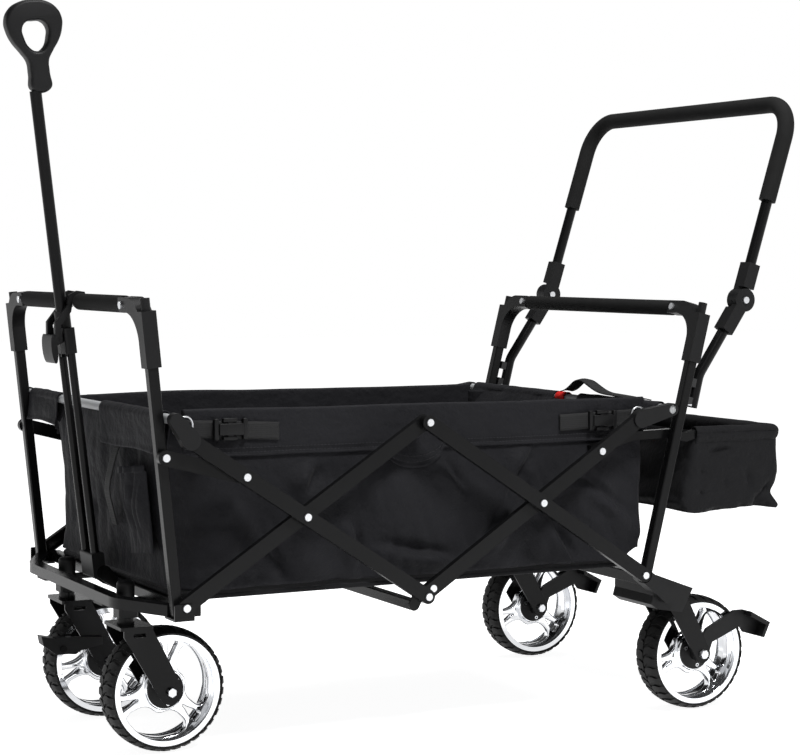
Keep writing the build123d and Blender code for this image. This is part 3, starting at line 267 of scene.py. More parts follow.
black_coat = powder_coat()
dress(black_coat,
      "front_uprights", "front_base_frame", "handle_yoke", "handle_twin_tubes", "pull_tube",
      "front_inner_arms", "front_outer_arms", "rear_inner_arms", "rear_outer_arms",
      "front_links", "rear_uprights", "rear_base_tube", "push_lower_tubes", "push_bar",
      "front_fork_near", "front_fork_far", "rear_forks", "basket_frame")


# ---------------------------------------------------------------- moulded plastic
# Glass-filled nylon castings: corner brackets, rim corners, elbows, feet, heads, hubs,
# pedals and the pull grip. They have a fine spark-eroded grain.
def black_nylon():
    plastic = Finish("black_nylon")
    grain = plastic.noise(2600, 2, 0.6)
    cloud = plastic.noise(14, 2)
    return plastic.varied(cloud, (0.0085, 0.0085, 0.0089), (0.011475, 0.011475, 0.012015), 0.36, 0.12,
                          Specular_IOR_Level=0.16, Normal=plastic.bump(grain, 0.00012, 0.5))


black_plastic = black_nylon()
dress(black_plastic,
      "front_corner_brackets", "rear_corner_brackets", "front_rim_corners",
      "rear_rim_corners", "rear_feet", "caster_heads", "elbow_lower", "elbow_upper",
      "handle_pivot_block", "handle_collar", "handle_latch", "d_grip", "caster_pedal",
      "brake_pedal_near", "brake_pedal_far",
      "hub_front_near", "hub_front_far", "hub_rear_near", "hub_rear_far")


# ---------------------------------------------------------------- pull grip
# The D-shaped pull grip is a thick rounded nylon moulding with a hand hole, and it
# narrows to a neck round the tube.
def closed_curve(curve, points):
    """Add a smooth closed spline through points to a flat curve."""
    spline = curve.splines.new("BEZIER")
    spline.bezier_points.add(len(points) - 1)
    for handle, point in zip(spline.bezier_points, points):
        handle.co = point
        handle.handle_left_type = handle.handle_right_type = "AUTO"
    spline.use_cyclic_u = True


def curve_mesh(name, loops, **settings):
    """The mesh of one curve made of closed splines, with the curve's own settings."""
    curve = bpy.data.curves.new(name, "CURVE")
    for key, value in settings.items():
        setattr(curve, key, value)
    for points in loops:
        closed_curve(curve, points)
    holder = bpy.data.objects.new(name, curve)
    bpy.context.scene.collection.objects.link(holder)
    mesh = bpy.data.meshes.new_from_object(holder)
    bpy.data.objects.remove(holder)
    return mesh


def outwards(build):
    """Turn the faces of a bmesh outwards."""
    bmesh.ops.recalc_face_normals(build, faces=build.faces)
    return build


def merged(build, reach=1e-6):
    """Merge the doubled points of a bmesh and turn its faces outwards."""
    bmesh.ops.remove_doubles(build, verts=build.verts, dist=reach)
    return outwards(build)


def rounded(build, edges, radius, segments=3):
    """Round some edges of a bmesh."""
    bmesh.ops.bevel(build, geom=edges, offset=radius, segments=segments, profile=0.5,
                    affect="EDGES", material=-1)


def opened(mesh):
    """A bmesh of a mesh."""
    build = bmesh.new()
    build.from_mesh(mesh)
    return build


def mirrored(half):
    """Half of a symmetric outline, from top to bottom, and its mirror image."""
    return [*half, *[(-across, up) for across, up in reversed(half) if across > 0.0005]]


handle_lean = math.radians(6.9)
handle_foot = Vector((front_axle_x - 0.0529, 0, 0.2584))
grip_low = 0.777
grip_half_depth = 0.012
grip_rounding = 0.0055
handle_frame = Matrix.Translation(handle_foot) @ Matrix((
    (math.cos(handle_lean), -math.sin(handle_lean), 0, 0),
    (0, 0, 1, 0),
    (math.sin(handle_lean), math.cos(handle_lean), 0, 0),
    (0, 0, 0, 1)))
grip_outline = [(0, 0.0955), (0.019, 0.0930), (0.036, 0.0820), (0.0435, 0.0660), (0.0420, 0.0500),
                (0.0355, 0.0340), (0.0235, 0.0170), (0.0160, 0.0040), (0.0150, -0.0140), (0.0135, -0.0385)]
grip_hole = [(0, 0.0640), (0.0125, 0.0625), (0.0200, 0.0530), (0.0190, 0.0400), (0.0115, 0.0240), (0, 0.0185)]
grip_loops = [[Vector((across, grip_low + up, 0)) for across, up in mirrored(half)]
              for half in (grip_outline, grip_hole)]
grip_mesh = curve_mesh(
    "pull_grip_body", grip_loops, dimensions="2D", fill_mode="BOTH", resolution_u=8,
    extrude=grip_half_depth - grip_rounding, bevel_depth=grip_rounding,
    offset=-grip_rounding, bevel_resolution=3)
grip_mesh.transform(handle_frame)


def finished(name, mesh_build, material, body, smooth_angle=40):
    """Turn a bmesh into a piece that rides on a body, with smooth faces and one material."""
    mesh = bpy.data.meshes.new(name)
    mesh_build.to_mesh(mesh)
    mesh_build.free()
    mesh.materials.append(material)
    mesh.shade_smooth()
    mesh.set_sharp_from_angle(angle=math.radians(smooth_angle))
    piece = bpy.data.objects.new(name, mesh)
    bpy.context.scene.collection.objects.link(piece)
    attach(piece, body)
    return piece


grip = finished("pull_grip_body", merged(opened(grip_mesh)), black_plastic, "pull_grip")
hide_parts("d_grip")


# ---------------------------------------------------------------- plated fasteners
# Domed rivets, pins and bolts in bright zinc plate with fine turning marks. The saddles
# that hold the push bar's tubes are painted black, between two heights.
def zinc_plate(name, painted_low=0.0, painted_high=0.0):
    zinc = Finish(name)
    marks = zinc.noise(700, 2)
    height = zinc.axes()[2]
    painted = (height.maths("GREATER_THAN", height, painted_low)
               * height.maths("LESS_THAN", height, painted_high))
    plate = zinc.mix(marks, (0.62, 0.63, 0.65, 1), (0.78, 0.79, 0.81, 1))
    zinc.surface(
        Base_Color=zinc.mix(painted, plate, (0.006, 0.006, 0.007, 1)),
        Metallic=0.9 - 0.9 * painted,
        Roughness=0.22 + 0.2 * marks,
    )
    return zinc.material


bright_zinc = zinc_plate("zinc_plate")
saddle_low = 0.5095
saddle_high = 0.5575
dress(bright_zinc, "front_fasteners", "front_inner_rivets",
      "front_outer_rivets", "rear_inner_rivets", "rear_outer_rivets")
dress(zinc_plate("zinc_and_painted_saddles", saddle_low, saddle_high), "rear_fasteners")


# ---------------------------------------------------------------- rim tubes
# Two plain tubes in pale grey enamel carry the ends of the fabric tub.
def grey_enamel():
    enamel = Finish("grey_enamel")
    cloud = enamel.noise(30, 3)
    return enamel.varied(cloud, (0.40, 0.41, 0.42), (0.50, 0.51, 0.52), 0.35, 0.1)


dress(grey_enamel(), "front_rim_tube", "rear_rim_tube")


# ---------------------------------------------------------------- foam sleeves
# Closed-cell foam round the push bar and the two crossbars: matt black, with the fine
# open skin of extruded foam.
def foam():
    cell = Finish("foam_skin")
    cells = cell.node("ShaderNodeTexVoronoi", {}, {"Vector": cell.place(), "Scale": 900}, 0)
    soft = cell.noise(40, 3)
    return cell.varied(soft, (0.011, 0.011, 0.011), (0.018, 0.018, 0.018), 0.74, 0.1,
                       Specular_IOR_Level=0.09, Normal=cell.bump(cells, 0.0005, 0.35))


dress(foam(), "push_grip", "front_crossbar_sleeve", "rear_crossbar_sleeve")


# ---------------------------------------------------------------- tyres
# Solid moulded tyres with a rounded crown. Two rows of slanted blocks meet along the
# middle and run down over the shoulders as lugs.
def tyre_rubber():
    rubber = Finish("tyre_rubber")
    dust = rubber.noise(25, 4)
    return rubber.varied(dust, (0.008, 0.008, 0.008), (0.015, 0.015, 0.015), 0.50, 0.2,
                         Specular_IOR_Level=0.22, Normal=rubber.bump(rubber.noise(1500, 2), 0.0002, 0.4))


def spun(build, outline, centre, steps=72):
    """Spin a closed outline of (y, radius) points round the wheel axis through centre."""
    ring = [build.verts.new((centre.x, centre.y + y, centre.z + radius)) for y, radius in outline]
    edges = [build.edges.new((ring[i - 1], ring[i])) for i in range(len(ring))]
    bmesh.ops.spin(build, geom=ring + edges, cent=centre, axis=(0, 1, 0),
                   angle=math.tau, steps=steps, use_merge=True)
    merged(build)


tyre_black = tyre_rubber()
wheel_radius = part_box("tyre_rear_near")[1].z / 2
tyre_half = extent("tyre_rear_near").y / 2
tread_depth = 0.0032
groove_half = 0.0012
crown_drop = 0.0042
tread_pitches = 34
carcass = wheel_radius - tread_depth


def crown(y):
    """Radius of the tread's top at a distance from the tyre's middle."""
    return wheel_radius - crown_drop * (y / tyre_half) ** 2


def join(build, part):
    """Add one bmesh to another and free it."""
    mesh = bpy.data.meshes.new("part")
    part.to_mesh(mesh)
    part.free()
    build.from_mesh(mesh)


def tread_blocks(centre):
    """One slanted block on each side of the middle, repeated round the wheel."""
    ring = bmesh.new()
    for side in (-1, 1):
        slab = bmesh.new()
        bmesh.ops.create_cube(slab, size=1)
        across = [e for e in slab.edges if abs(e.verts[0].co.y - e.verts[1].co.y) > 0.5]
        bmesh.ops.subdivide_edges(slab, edges=across, cuts=3)
        for vert in slab.verts:
            reach = vert.co.y + 0.5
            y = side * (groove_half + reach * (tyre_half - groove_half))
            high = vert.co.z > 0
            radius = crown(y) - 0.0008 if high else carcass - 0.0045
            if reach > 0.95:
                radius -= 0.0030 if high else 0.0012
            width = 0.0052 if high else 0.0060
            turn = vert.co.x * 2 * width / wheel_radius * (1.25 - 0.35 * reach)
            turn += 0.075 * (reach - 0.5) + 0.03 * math.sin(reach * math.tau * 0.8)
            if side > 0:
                turn += math.pi / tread_pitches
            vert.co = centre + Vector((radius * math.sin(turn), y, radius * math.cos(turn)))
        join(ring, slab)
    bmesh.ops.spin(ring, geom=[*ring.verts, *ring.edges, *ring.faces], cent=centre, axis=(0, 1, 0),
                   angle=math.tau * (tread_pitches - 1) / tread_pitches, steps=tread_pitches - 1,
                   use_duplicate=True)
    return ring


wheels = [f"{end}_{place}" for end in ("front", "rear") for place in ("near", "far")]
for wheel in wheels:
    centre = middle(f"tyre_{wheel}")
    build = bmesh.new()
    seat = extent(f"rim_{wheel}").z / 2
    half = tyre_half - 0.0012
    spun(build, mirrored([(0, carcass), (half / 2, carcass - 0.0012), (half - 0.0025, carcass - 0.0035),
                          (half, carcass - 0.0065), (half, seat + 0.0025), (half - 0.003, seat)]),
         centre, 96)
    join(build, tread_blocks(centre))
    tyre = finished(f"tread_tyre_{wheel}", outwards(build), tyre_black, f"wheel_{wheel}", 34)
    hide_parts(f"tyre_{wheel}")


# ---------------------------------------------------------------- chromed rims
# Each rim is one chromed moulding: two rounded lips, a deep tapering barrel, and a
# middle disc with three round-cornered windows between three split spokes.
def chrome():
    plated = Finish("chrome_plate")
    haze = plated.noise(35, 3)
    plated.surface(
        Base_Color=(0.78, 0.79, 0.81, 1),
        Metallic=1.0,
        Roughness=0.04 + 0.06 * haze,
    )
    return plated.material


chrome_plate = chrome()
lip_inner = 0.0752
barrel_inner = 0.0795
hub_ring = 0.0305
spoke_turn = -42


def polar(radius, degrees_round):
    """Point at a radius and an angle in the wheel's face."""
    turn = math.radians(degrees_round)
    return Vector((radius * math.cos(turn), radius * math.sin(turn), 0))


# Radius and angle of the points round one window and one slot, from the middle of each.
window = [(0.0762, -38), (0.0762, -19), (0.0762, 0), (0.0762, 19), (0.0762, 38), (0.0690, 46),
          (0.0520, 47), (0.0350, 34), (0.0350, 0), (0.0350, -34), (0.0520, -47), (0.0690, -46)]
slot = [(0.0400, 0), (0.0500, -5.0), (0.0650, -7.5), (0.0735, -7.5),
        (0.0750, 0), (0.0735, 7.5), (0.0650, 7.5), (0.0500, 5.0)]


def spoke_disc(centre):
    """Flat disc with three windows and three spoke slots, thick and round-edged."""
    loops = [[polar(barrel_inner, 15 * i) for i in range(24)],
             [polar(hub_ring - 0.003, 30 * i) for i in range(12)]]
    for spoke in range(3):
        turn = spoke_turn + 120 * spoke
        loops.append([polar(radius, turn + 60 + degrees_round) for radius, degrees_round in window])
        loops.append([polar(radius, turn + degrees_round) for radius, degrees_round in slot])
    mesh = curve_mesh("spoke_disc", loops, dimensions="2D", fill_mode="BOTH", resolution_u=6,
                      extrude=0.0045, bevel_depth=0.0022, bevel_resolution=2)
    mesh.transform(Matrix.Translation(centre) @ Matrix.Rotation(math.radians(90), 4, "X"))
    return merged(opened(mesh))


for wheel in wheels:
    centre = middle(f"tyre_{wheel}")
    lip = extent(f"rim_{wheel}").y / 2
    rim_outer = extent(f"rim_{wheel}").z / 2
    slope = lip - 0.0045
    barrel = bmesh.new()
    spun(barrel, [(-lip, rim_outer - 0.0006), (-lip, lip_inner + 0.0006), (-lip + 0.0006, lip_inner),
                  (-lip + 0.0022, lip_inner + 0.0004), (-slope, lip_inner + 0.0022),
                  (-slope * 0.6, barrel_inner - 0.0008), (0, barrel_inner),
                  (slope * 0.6, barrel_inner - 0.0008), (slope, lip_inner + 0.0026),
                  (lip - 0.0026, lip_inner + 0.0006), (lip - 0.0010, lip_inner),
                  (lip, lip_inner + 0.0008), (lip, rim_outer - 0.0006), (lip - 0.0006, rim_outer),
                  (-lip + 0.0006, rim_outer)], centre, 96)
    spun(barrel, mirrored([(0.0060, hub_ring + 0.0014), (0.0125, hub_ring + 0.0008),
                           (0.0140, hub_ring - 0.0006), (0.0140, hub_ring - 0.0022)]), centre, 48)
    build = spoke_disc(centre)
    join(build, barrel)
    rim = finished(f"chrome_rim_{wheel}", build, chrome_plate, f"wheel_{wheel}", 34)
    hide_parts(f"rim_{wheel}")


# ---------------------------------------------------------------- wheel bolts and screws
# Hexagon heads of the axle bolts on the fork legs, and three small socket screws in
# each face of the hubs, all bright plated.
def prism(build, sides, radius, height):
    """Raise a prism along Z; return the points of its foot and its top, and its top face."""
    foot = bmesh.ops.create_circle(build, cap_ends=True, segments=sides, radius=radius)["verts"]
    face = [f for f in foot[0].link_faces if len(f.verts) == sides]
    made = bmesh.ops.extrude_face_region(build, geom=face)["geom"]
    top = [g for g in made if isinstance(g, bmesh.types.BMVert)]
    for vert in top:
        vert.co.z += height
    return foot, top, [g for g in made if isinstance(g, bmesh.types.BMFace)]


def stand_on(build, verts, at, towards):
    """Turn something made along Z to point along Y, towards -1 or 1, and set it down at a point."""
    turn = Matrix.Rotation(math.radians(-90 * towards), 4, "X")
    bmesh.ops.transform(build, matrix=Matrix.Translation(at) @ turn, verts=list(verts))


def hexagon(build, at, radius, height, towards):
    """Add a chamfered hexagon head whose axis runs along Y."""
    foot, top, _ = prism(build, 6, radius, height)
    bmesh.ops.scale(build, vec=(0.9, 0.9, 1), verts=top)
    stand_on(build, foot + top, at, towards)


def screw(build, at, radius, height, towards):
    """Add a round screw head with a recessed socket, its axis along Y."""
    foot, top, cap = prism(build, 16, radius, height)
    bmesh.ops.inset_region(build, faces=cap, thickness=radius * 0.45, depth=0)
    bmesh.ops.inset_region(build, faces=cap, thickness=radius * 0.05, depth=-height * 0.8)
    verts = {v for f in cap for v in f.verts} | set(foot) | set(top)
    for vert in list(verts):
        verts.update(v for e in vert.link_edges for v in e.verts)
    stand_on(build, verts, at, towards)


fork_bodies = {"front_near": "caster_near", "front_far": "caster_far",
               "rear_near": "rear_frame", "rear_far": "rear_frame"}
fork_outside = 0.038
bolt_pip = 0.0001
for wheel, fork_body in fork_bodies.items():
    centre = middle(f"tyre_{wheel}")
    build = bmesh.new()
    for towards in (-1, 1):
        hexagon(build, centre + Vector((0, towards * fork_outside, 0)), 0.0078, 0.0058, towards)
        pip_at = Vector((0, towards * (fork_outside - 2 * bolt_pip), 0))
        hexagon(build, centre + pip_at, bolt_pip, bolt_pip, towards)
    finished(f"axle_bolt_{wheel}", merged(build, 1e-7), bright_zinc, fork_body, 30)
    build = bmesh.new()
    for towards in (-1, 1):
        for turn in (-90, 30, 150):
            spot = polar(0.0215, turn + 8)
            at = centre + Vector((spot.x, towards * 0.0165, spot.y))
            screw(build, at, 0.0032, 0.0022, towards)
    finished(f"hub_screws_{wheel}", outwards(build), bright_zinc, f"wheel_{wheel}", 30)


# ---------------------------------------------------------------- tub walls
# One wall of black woven polyester runs from the near rear edge round both front corners
# to the far rear edge. It hangs from hems and rim tubes, so it stands in soft folds.
def woven(name, base, thread=0.0016):
    cloth = Finish(name)
    waves = [(axis * (math.tau / thread)).sine() for axis in cloth.axes()]
    threads = 0.5 + (waves[0] + waves[1] + waves[2]) / 6
    cloud = cloth.noise(6, 5, 0.6)
    crumple = cloth.noise(32, 5, 0.62)
    dark, pale = ([share * c for c in base] + [1] for share in (0.75, 1.3))
    cloth.surface(
        Base_Color=cloth.mix(cloud, dark, pale),
        Roughness=0.62 + 0.12 * threads,
        Specular_IOR_Level=0.10,
        Sheen_Weight=0.02,
        Normal=cloth.bump(threads, 0.0003, 0.4, cloth.bump(crumple, 0.010, 0.55)),
    )
    return cloth.material


def ripple(x, y, z, scale, seed):
    """Smooth noise from about -1 to 1, with its own scale along each axis."""
    return noise.noise(Vector((x * scale[0] + seed, y * scale[1] + 2 * seed, z * scale[2] - seed)))


def crease(x, y, z, scale, seed):
    """Noise from 0 to about 1 whose low points are narrow valleys, as creases are."""
    return min(1, 2.2 * abs(ripple(x, y, z, scale, seed)))


def pulled_folds(along, up, lines, width):
    """Folds pulled in the cloth: each line runs from one point to another, a valley beside a ridge."""
    total = 0
    for x0, z0, x1, z1 in lines:
        run = Vector((x1 - x0, z1 - z0))
        off = Vector((along - x0, up - z0))
        share = off.dot(run) / run.length_squared
        if -0.2 < share < 1.2:
            across = (off.x * run.y - off.y * run.x) / run.length
            taper = math.sin(math.pi * (share + 0.2) / 1.4)
            valley = math.exp(-(across / width) ** 2)
            ridge = math.exp(-((across - 1.6 * width) / (1.4 * width)) ** 2)
            total += taper * (0.8 * ridge - valley)
    return total


def smooth_step(value, low, high):
    """0 below low, 1 above high and a smooth rise between."""
    t = min(1, max(0, (value - low) / (high - low)))
    return t * t * (3 - 2 * t)


def cloth_sheet(name, columns, rows, place, material, body, thickness=0.0022, closed=False):
    """Lay a grid of cloth: place(u, v) gives the point for u and v from 0 to 1."""
    build = bmesh.new()
    bmesh.ops.create_grid(build, x_segments=columns, y_segments=rows, size=0.5)
    for vert in build.verts:
        vert.co = place(vert.co.x + 0.5, vert.co.y + 0.5)
    if closed:
        bmesh.ops.remove_doubles(build, verts=build.verts, dist=1e-5)
    piece = finished(name, outwards(build), material, body, 60)
    wall = piece.modifiers.new("thickness", "SOLIDIFY")
    wall.thickness = thickness
    wall.offset = 0
    return piece


def folds_up(piece):
    """Give a soft piece its own copy of its mesh."""
    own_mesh(piece)
    return piece


canvas = woven("black_canvas", (0.0150, 0.0150, 0.0172))
canvas_inner = woven("canvas_inner", (0.0105, 0.0105, 0.0115))
floor_low, floor_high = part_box("tub_floor")
side_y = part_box("tub_walls")[1].y
front_rim_at = middle("front_rim_tube")
rear_rim_at = middle("rear_rim_tube")
rim_tube_radius = extent("front_rim_tube").z / 2
hem_top = 0.521
hem_seam = 0.455
far_sag = 0.011
wall_foot = floor_low.z + 0.014
rear_edge = front_axle_x + 0.766
front_low = floor_low.x - 0.002
front_high = front_rim_at.x + rim_tube_radius + 0.004
corner_round = 0.058
swell_limit = 0.027

# Folds of the side panels: the two ends of each, behind the front axle and above the ground.
side_folds = [
    (-0.046, 0.402, -0.012, 0.322), (-0.046, 0.356, 0.008, 0.312), (-0.016, 0.436, -0.046, 0.386),
    (0.014, 0.450, -0.014, 0.400), (-0.034, 0.284, 0.020, 0.322), (0.006, 0.400, 0.030, 0.330),
    (0.250, 0.350, 0.268, 0.272), (0.188, 0.432, 0.172, 0.400), (0.404, 0.434, 0.438, 0.388),
    (0.604, 0.330, 0.640, 0.272), (0.650, 0.402, 0.744, 0.338), (0.108, 0.330, 0.142, 0.278),
    (0.300, 0.314, 0.410, 0.292), (0.560, 0.440, 0.520, 0.380), (0.470, 0.300, 0.500, 0.360)]


def side_swell(x, z):
    """How far a side stands out from its plane: a slack belly, soft folds, and a tight hem."""
    along = min(1, max(0, (x - front_low) / (rear_edge - front_low)))
    up = min(1, max(0, (z - wall_foot) / (hem_top - wall_foot)))
    belly = 0.006 * math.sin(math.pi * up) * math.sin(math.pi * along)
    slack = smooth_step(hem_seam - z, 0.0, 0.05)
    broad = 0.012 * ripple(x, 0, z, (9, 1, 3.2), 3.1) + 0.008 * ripple(x + 0.5 * z, 0, z, (19, 1, 7), 7.7)
    fine = 0.003 * crease(x + 0.3 * z, 0, z, (34, 1, 15), 9.4)
    pulled = 0.012 * pulled_folds(x - front_axle_x, z, side_folds, 0.009)
    swell = belly + slack * (broad + fine) + pulled
    return min(swell_limit, swell)


def wall_point(side, run, up):
    """A point of the wall: run 0 at the rear edge, 1 at the middle of the front."""
    side_top = wall_foot + up * (hem_top - (0 if side > 0 else far_sag) - wall_foot)
    front_top = wall_foot + up * (front_rim_at.z - wall_foot)
    lean = smooth_step(up, 0.0, 1.0)
    front_x = front_low + (front_high - front_low) * lean
    pull = math.sin(math.pi * min(1, up * 1.02)) ** 0.8
    corner = corner_round + 0.030 * pull
    straight = rear_edge - front_x - corner
    arc = corner * math.pi / 2
    width = side_y - corner
    gone = run * (straight + arc + width)
    if gone < straight:
        x = rear_edge - gone
        foot = smooth_step(0.040 - gone, 0, 0.040) * smooth_step(0.05 - (side_top - wall_foot), 0, 0.05)
        y = side_y + side_swell(x, side_top) - 0.004 * foot
        return Vector((x - 0.004 * foot, -side * y, side_top + 0.018 * foot))
    if gone < straight + arc:
        turn = (gone - straight) / corner
        swell = side_swell(front_x + corner, side_top) * math.cos(turn)
        soft = 0.010 * pull * ripple(gone, side, side_top, (22, 1, 4), 2.3) * math.sin(2 * turn)
        reach = corner + swell + soft
        x = front_x + corner - reach * math.sin(turn)
        y = width + reach * math.cos(turn) - 0.012 * pull * math.sin(2 * turn)
        z = side_top + (front_top - side_top) * math.sin(turn)
        return Vector((x, -side * y, z))
    y = max(0, width - (gone - straight - arc))
    drape = 0.009 * crease(0, side * y + 0.25 * front_top, front_top, (1, 13, 3.5), 4.4)
    drape += 0.005 * crease(0, side * y - 0.3 * front_top, front_top, (1, 30, 7), 9.1) - 0.005
    x = front_x - (drape + 0.006 * (1 - (y / width) ** 2)) * pull * smooth_step(width - y, 0, 0.03)
    return Vector((x, -side * y, front_top))


def tub_wall(u, v):
    """The wall from the near rear edge, round the front, to the far rear edge."""
    if u <= 0.5:
        return wall_point(1, 2 * u, v)
    return wall_point(-1, 2 - 2 * u, v)


walls = folds_up(cloth_sheet("tub_wall_sheet", 420, 60, tub_wall, canvas, "front_frame"))
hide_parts("tub_walls", "tub_front_panel")


def rear_wall(u, v):
    """The rear panel, from the floor up to the rear rim tube."""
    high_x = rear_rim_at.x - rim_tube_radius - 0.003
    y = (u - 0.5) * 2 * (side_y - 0.002)
    edge = smooth_step(side_y - abs(y), 0, 0.035)
    z = wall_foot + v * (rear_rim_at.z - 0.002 - wall_foot)
    x = floor_high.x + (rear_edge - floor_high.x) * smooth_step(v, 0, 0.15)
    x += (high_x - rear_edge) * smooth_step(v, 0.45, 1.0) * edge
    z += 0.018 * (1 - edge) * (1 - smooth_step(v, 0, 0.2))
    drape = math.sin(math.pi * v) * edge
    x += drape * (0.007 * ripple(0, y, z, (1, 11, 5), 6.6) + 0.004 * ripple(0, y, z, (1, 30, 8), 2.9))
    return Vector((x, y, z))


rear_panel = folds_up(cloth_sheet("tub_rear_sheet", 120, 50, rear_wall, canvas, "front_frame"))


# ---------------------------------------------------------------- side hems
# The top of each side is folded over to the outside and stitched down, with a curved
# reinforcing patch under the top pivot of the scissor arms.
patch_at = front_axle_x + 0.347
patch_half = 0.050
patch_dip = 0.028
hem_roll = 0.0035
face_share = 0.62
roll_share = 0.80
both_sides = (("near", 1), ("far", -1))


def hem(side):
    """Give the place function of one side's hem."""
    def place(u, v):
        start = front_high + 0.020
        x = start + u * (rear_edge + 0.004 - start)
        off = min(1, abs(x - patch_at) / patch_half)
        low = hem_seam - patch_dip * math.sqrt(1 - off ** 2) + 0.001 * ripple(x, side, 0, (16, 1, 1), 3.8)
        sag = 0 if side > 0 else far_sag - 0.002 * ripple(x, 3, 0, (9, 1, 1), 2.7)
        top = hem_top + 0.002 - sag + 0.003 * ripple(x, side, 0, (5, 1, 1), 8.2)
        outer = side_y + 0.0035 + side_swell(x, low)
        upper = side_y + 0.0035 + side_swell(x, hem_top)
        if v < face_share:
            rise = v / face_share
            z = low + rise * (top - hem_roll - low)
            lip = 0.0012 * (1 - smooth_step(rise, 0.0, 0.05))
            stitched = 0.0014 * math.exp(-((z - low - 0.006) / 0.0018) ** 2)
            wave = 0.0028 * ripple(x, side, z, (13, 1, 11), 5.5) * math.sin(math.pi * rise)
            y = outer + (upper - outer) * rise + lip - stitched + wave
        elif v < roll_share:
            turn = (v - face_share) / (roll_share - face_share) * math.pi
            y = upper - hem_roll * (1 - math.cos(turn))
            z = top - hem_roll + hem_roll * math.sin(turn)
        else:
            inside = (v - roll_share) / (1 - roll_share)
            z = top - hem_roll - inside * 0.060
            y = upper - 2 * hem_roll + 0.004 * ripple(x + 0.8 * z, side, z, (19, 1, 9), 6.9) * inside
        return Vector((x, -side * y, z))

    return place


for place, side in both_sides:
    band = folds_up(cloth_sheet(f"side_hem_{place}", 220, 44, hem(side), canvas, "front_frame", 0.0016))


# ---------------------------------------------------------------- hem stitching
# Two rows of short black stitches hold the hem down, a little proud of the cloth.
def thread():
    yarn = Finish("hem_thread")
    twist = yarn.noise(1200, 2)
    return yarn.varied(twist, (0.018, 0.018, 0.020), (0.032, 0.032, 0.036), 0.6, 0.2,
                       Specular_IOR_Level=0.3, Normal=yarn.bump(twist, 0.0002, 0.5))


hem_thread = thread()
stitch_pitch = 0.0058
for place, side in both_sides:
    build = bmesh.new()
    lay = hem(side)
    count = round((rear_edge - front_high) / stitch_pitch)
    for stitch in range(1, count):
        u0 = stitch / count
        for rise in (0.055, 0.115):
            start, end = lay(u0, rise), lay(u0 + 0.62 / count, rise)
            made = bmesh.ops.create_cube(build, size=1)["verts"]
            run = end - start
            bmesh.ops.scale(build, vec=(run.length, 0.0009, 0.0009), verts=made)
            lean = Matrix.Rotation(-math.atan2(run.z, run.x), 4, "Y")
            shift = Matrix.Translation((start + end) / 2 + Vector((0, -side * 0.0011, 0)))
            bmesh.ops.transform(build, matrix=shift @ lean, verts=made)
    folds_up(finished(f"hem_stitches_{place}", build, hem_thread, "front_frame", 30))


# ---------------------------------------------------------------- rim sleeves
# The wall's front and rear edges wrap the pale rim tubes as sleeves, sewn along the
# lower side and left open in the middle for the hand that lifts the tube.
def sleeve(name, rim, start, end, low, lean, body, wrinkle):
    """Wrap a rim tube from start to end along Y, with both layers hanging to low."""
    radius = rim_tube_radius + 0.0026
    hang = rim.z - low

    def place(u, v):
        y = start + u * (end - start)
        crumple = wrinkle * ripple(0, y, v * 2.0, (1, 28, 1.7), start * 40)
        tail = 0.004 * ripple(0, y, 0, (1, 14, 1), 3.3 + end * 10)
        if v < 0.4:
            drop = (0.4 - v) / 0.4
            x = rim.x - radius + lean * drop + 0.5 * crumple - 0.0015 * smooth_step(drop, 0.86, 0.94)
            z = rim.z - drop * (hang + tail)
        elif v < 0.7:
            turn = (v - 0.4) / 0.3 * math.pi
            x = rim.x - (radius + 0.3 * abs(crumple)) * math.cos(turn)
            z = rim.z + (radius + 0.3 * abs(crumple)) * math.sin(turn)
        else:
            drop = (v - 0.7) / 0.3
            x = rim.x + radius + (lean - radius * 1.2) * drop
            z = rim.z - drop * (hang + tail) * 0.9
        return Vector((x, y, z))

    columns = max(12, round(abs(end - start) * 240))
    piece = cloth_sheet(name, columns, 44, place, canvas, body, 0.0016)


sleeve("front_sleeve_near", front_rim_at, -0.288, -0.046, 0.462, 0.004, "outer_front_arms", 0.003)
sleeve("front_sleeve_far", front_rim_at, 0.150, 0.288, 0.474, -0.004, "outer_front_arms", 0.006)
sleeve("rear_sleeve_near", rear_rim_at, -0.288, -0.058, 0.470, -0.020, "inner_rear_arms", 0.004)
sleeve("rear_sleeve_far", rear_rim_at, 0.016, 0.288, 0.470, -0.020, "inner_rear_arms", 0.004)


# ---------------------------------------------------------------- floor mat
# A stiff board in a fabric cover lies on the base tubes: a thin pad with rounded edges.
def floor_mat():
    build = bmesh.new()
    bmesh.ops.create_cube(build, size=1)
    size = extent("tub_floor")
    bmesh.ops.scale(build, vec=(size.x - 0.004, size.y - 0.004, size.z), verts=build.verts)
    bmesh.ops.translate(build, vec=middle("tub_floor"), verts=build.verts)
    upright_edges = [e for e in build.edges if abs(e.verts[0].co.z - e.verts[1].co.z) > 0.001]
    rounded(build, upright_edges, 0.03, 6)
    rounded(build, [e for e in build.edges if e.calc_face_angle(0) > 0.7], 0.0028)
    return build


mat = folds_up(finished("floor_mat", floor_mat(), canvas_inner, "front_frame", 50))
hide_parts("tub_floor")


# ---------------------------------------------------------------- straps and buckles
# Black 26 mm webbing with side-release buckles lies along each side, and bright wire
# loops hook it to the ends of the rim tubes.
def webbing():
    web = Finish("black_webbing")
    x, _, z = web.axes()
    ribs = 0.5 + 0.3 * (x * (math.tau / 0.0020)).sine() + 0.2 * (z * (math.tau / 0.0030)).sine()
    return web.varied(ribs, (0.010, 0.010, 0.010), (0.024, 0.024, 0.025), 0.62, 0.15,
                      Specular_IOR_Level=0.25, Normal=web.bump(ribs, 0.0005, 0.7))


black_webbing = webbing()
strap_half = 0.0130


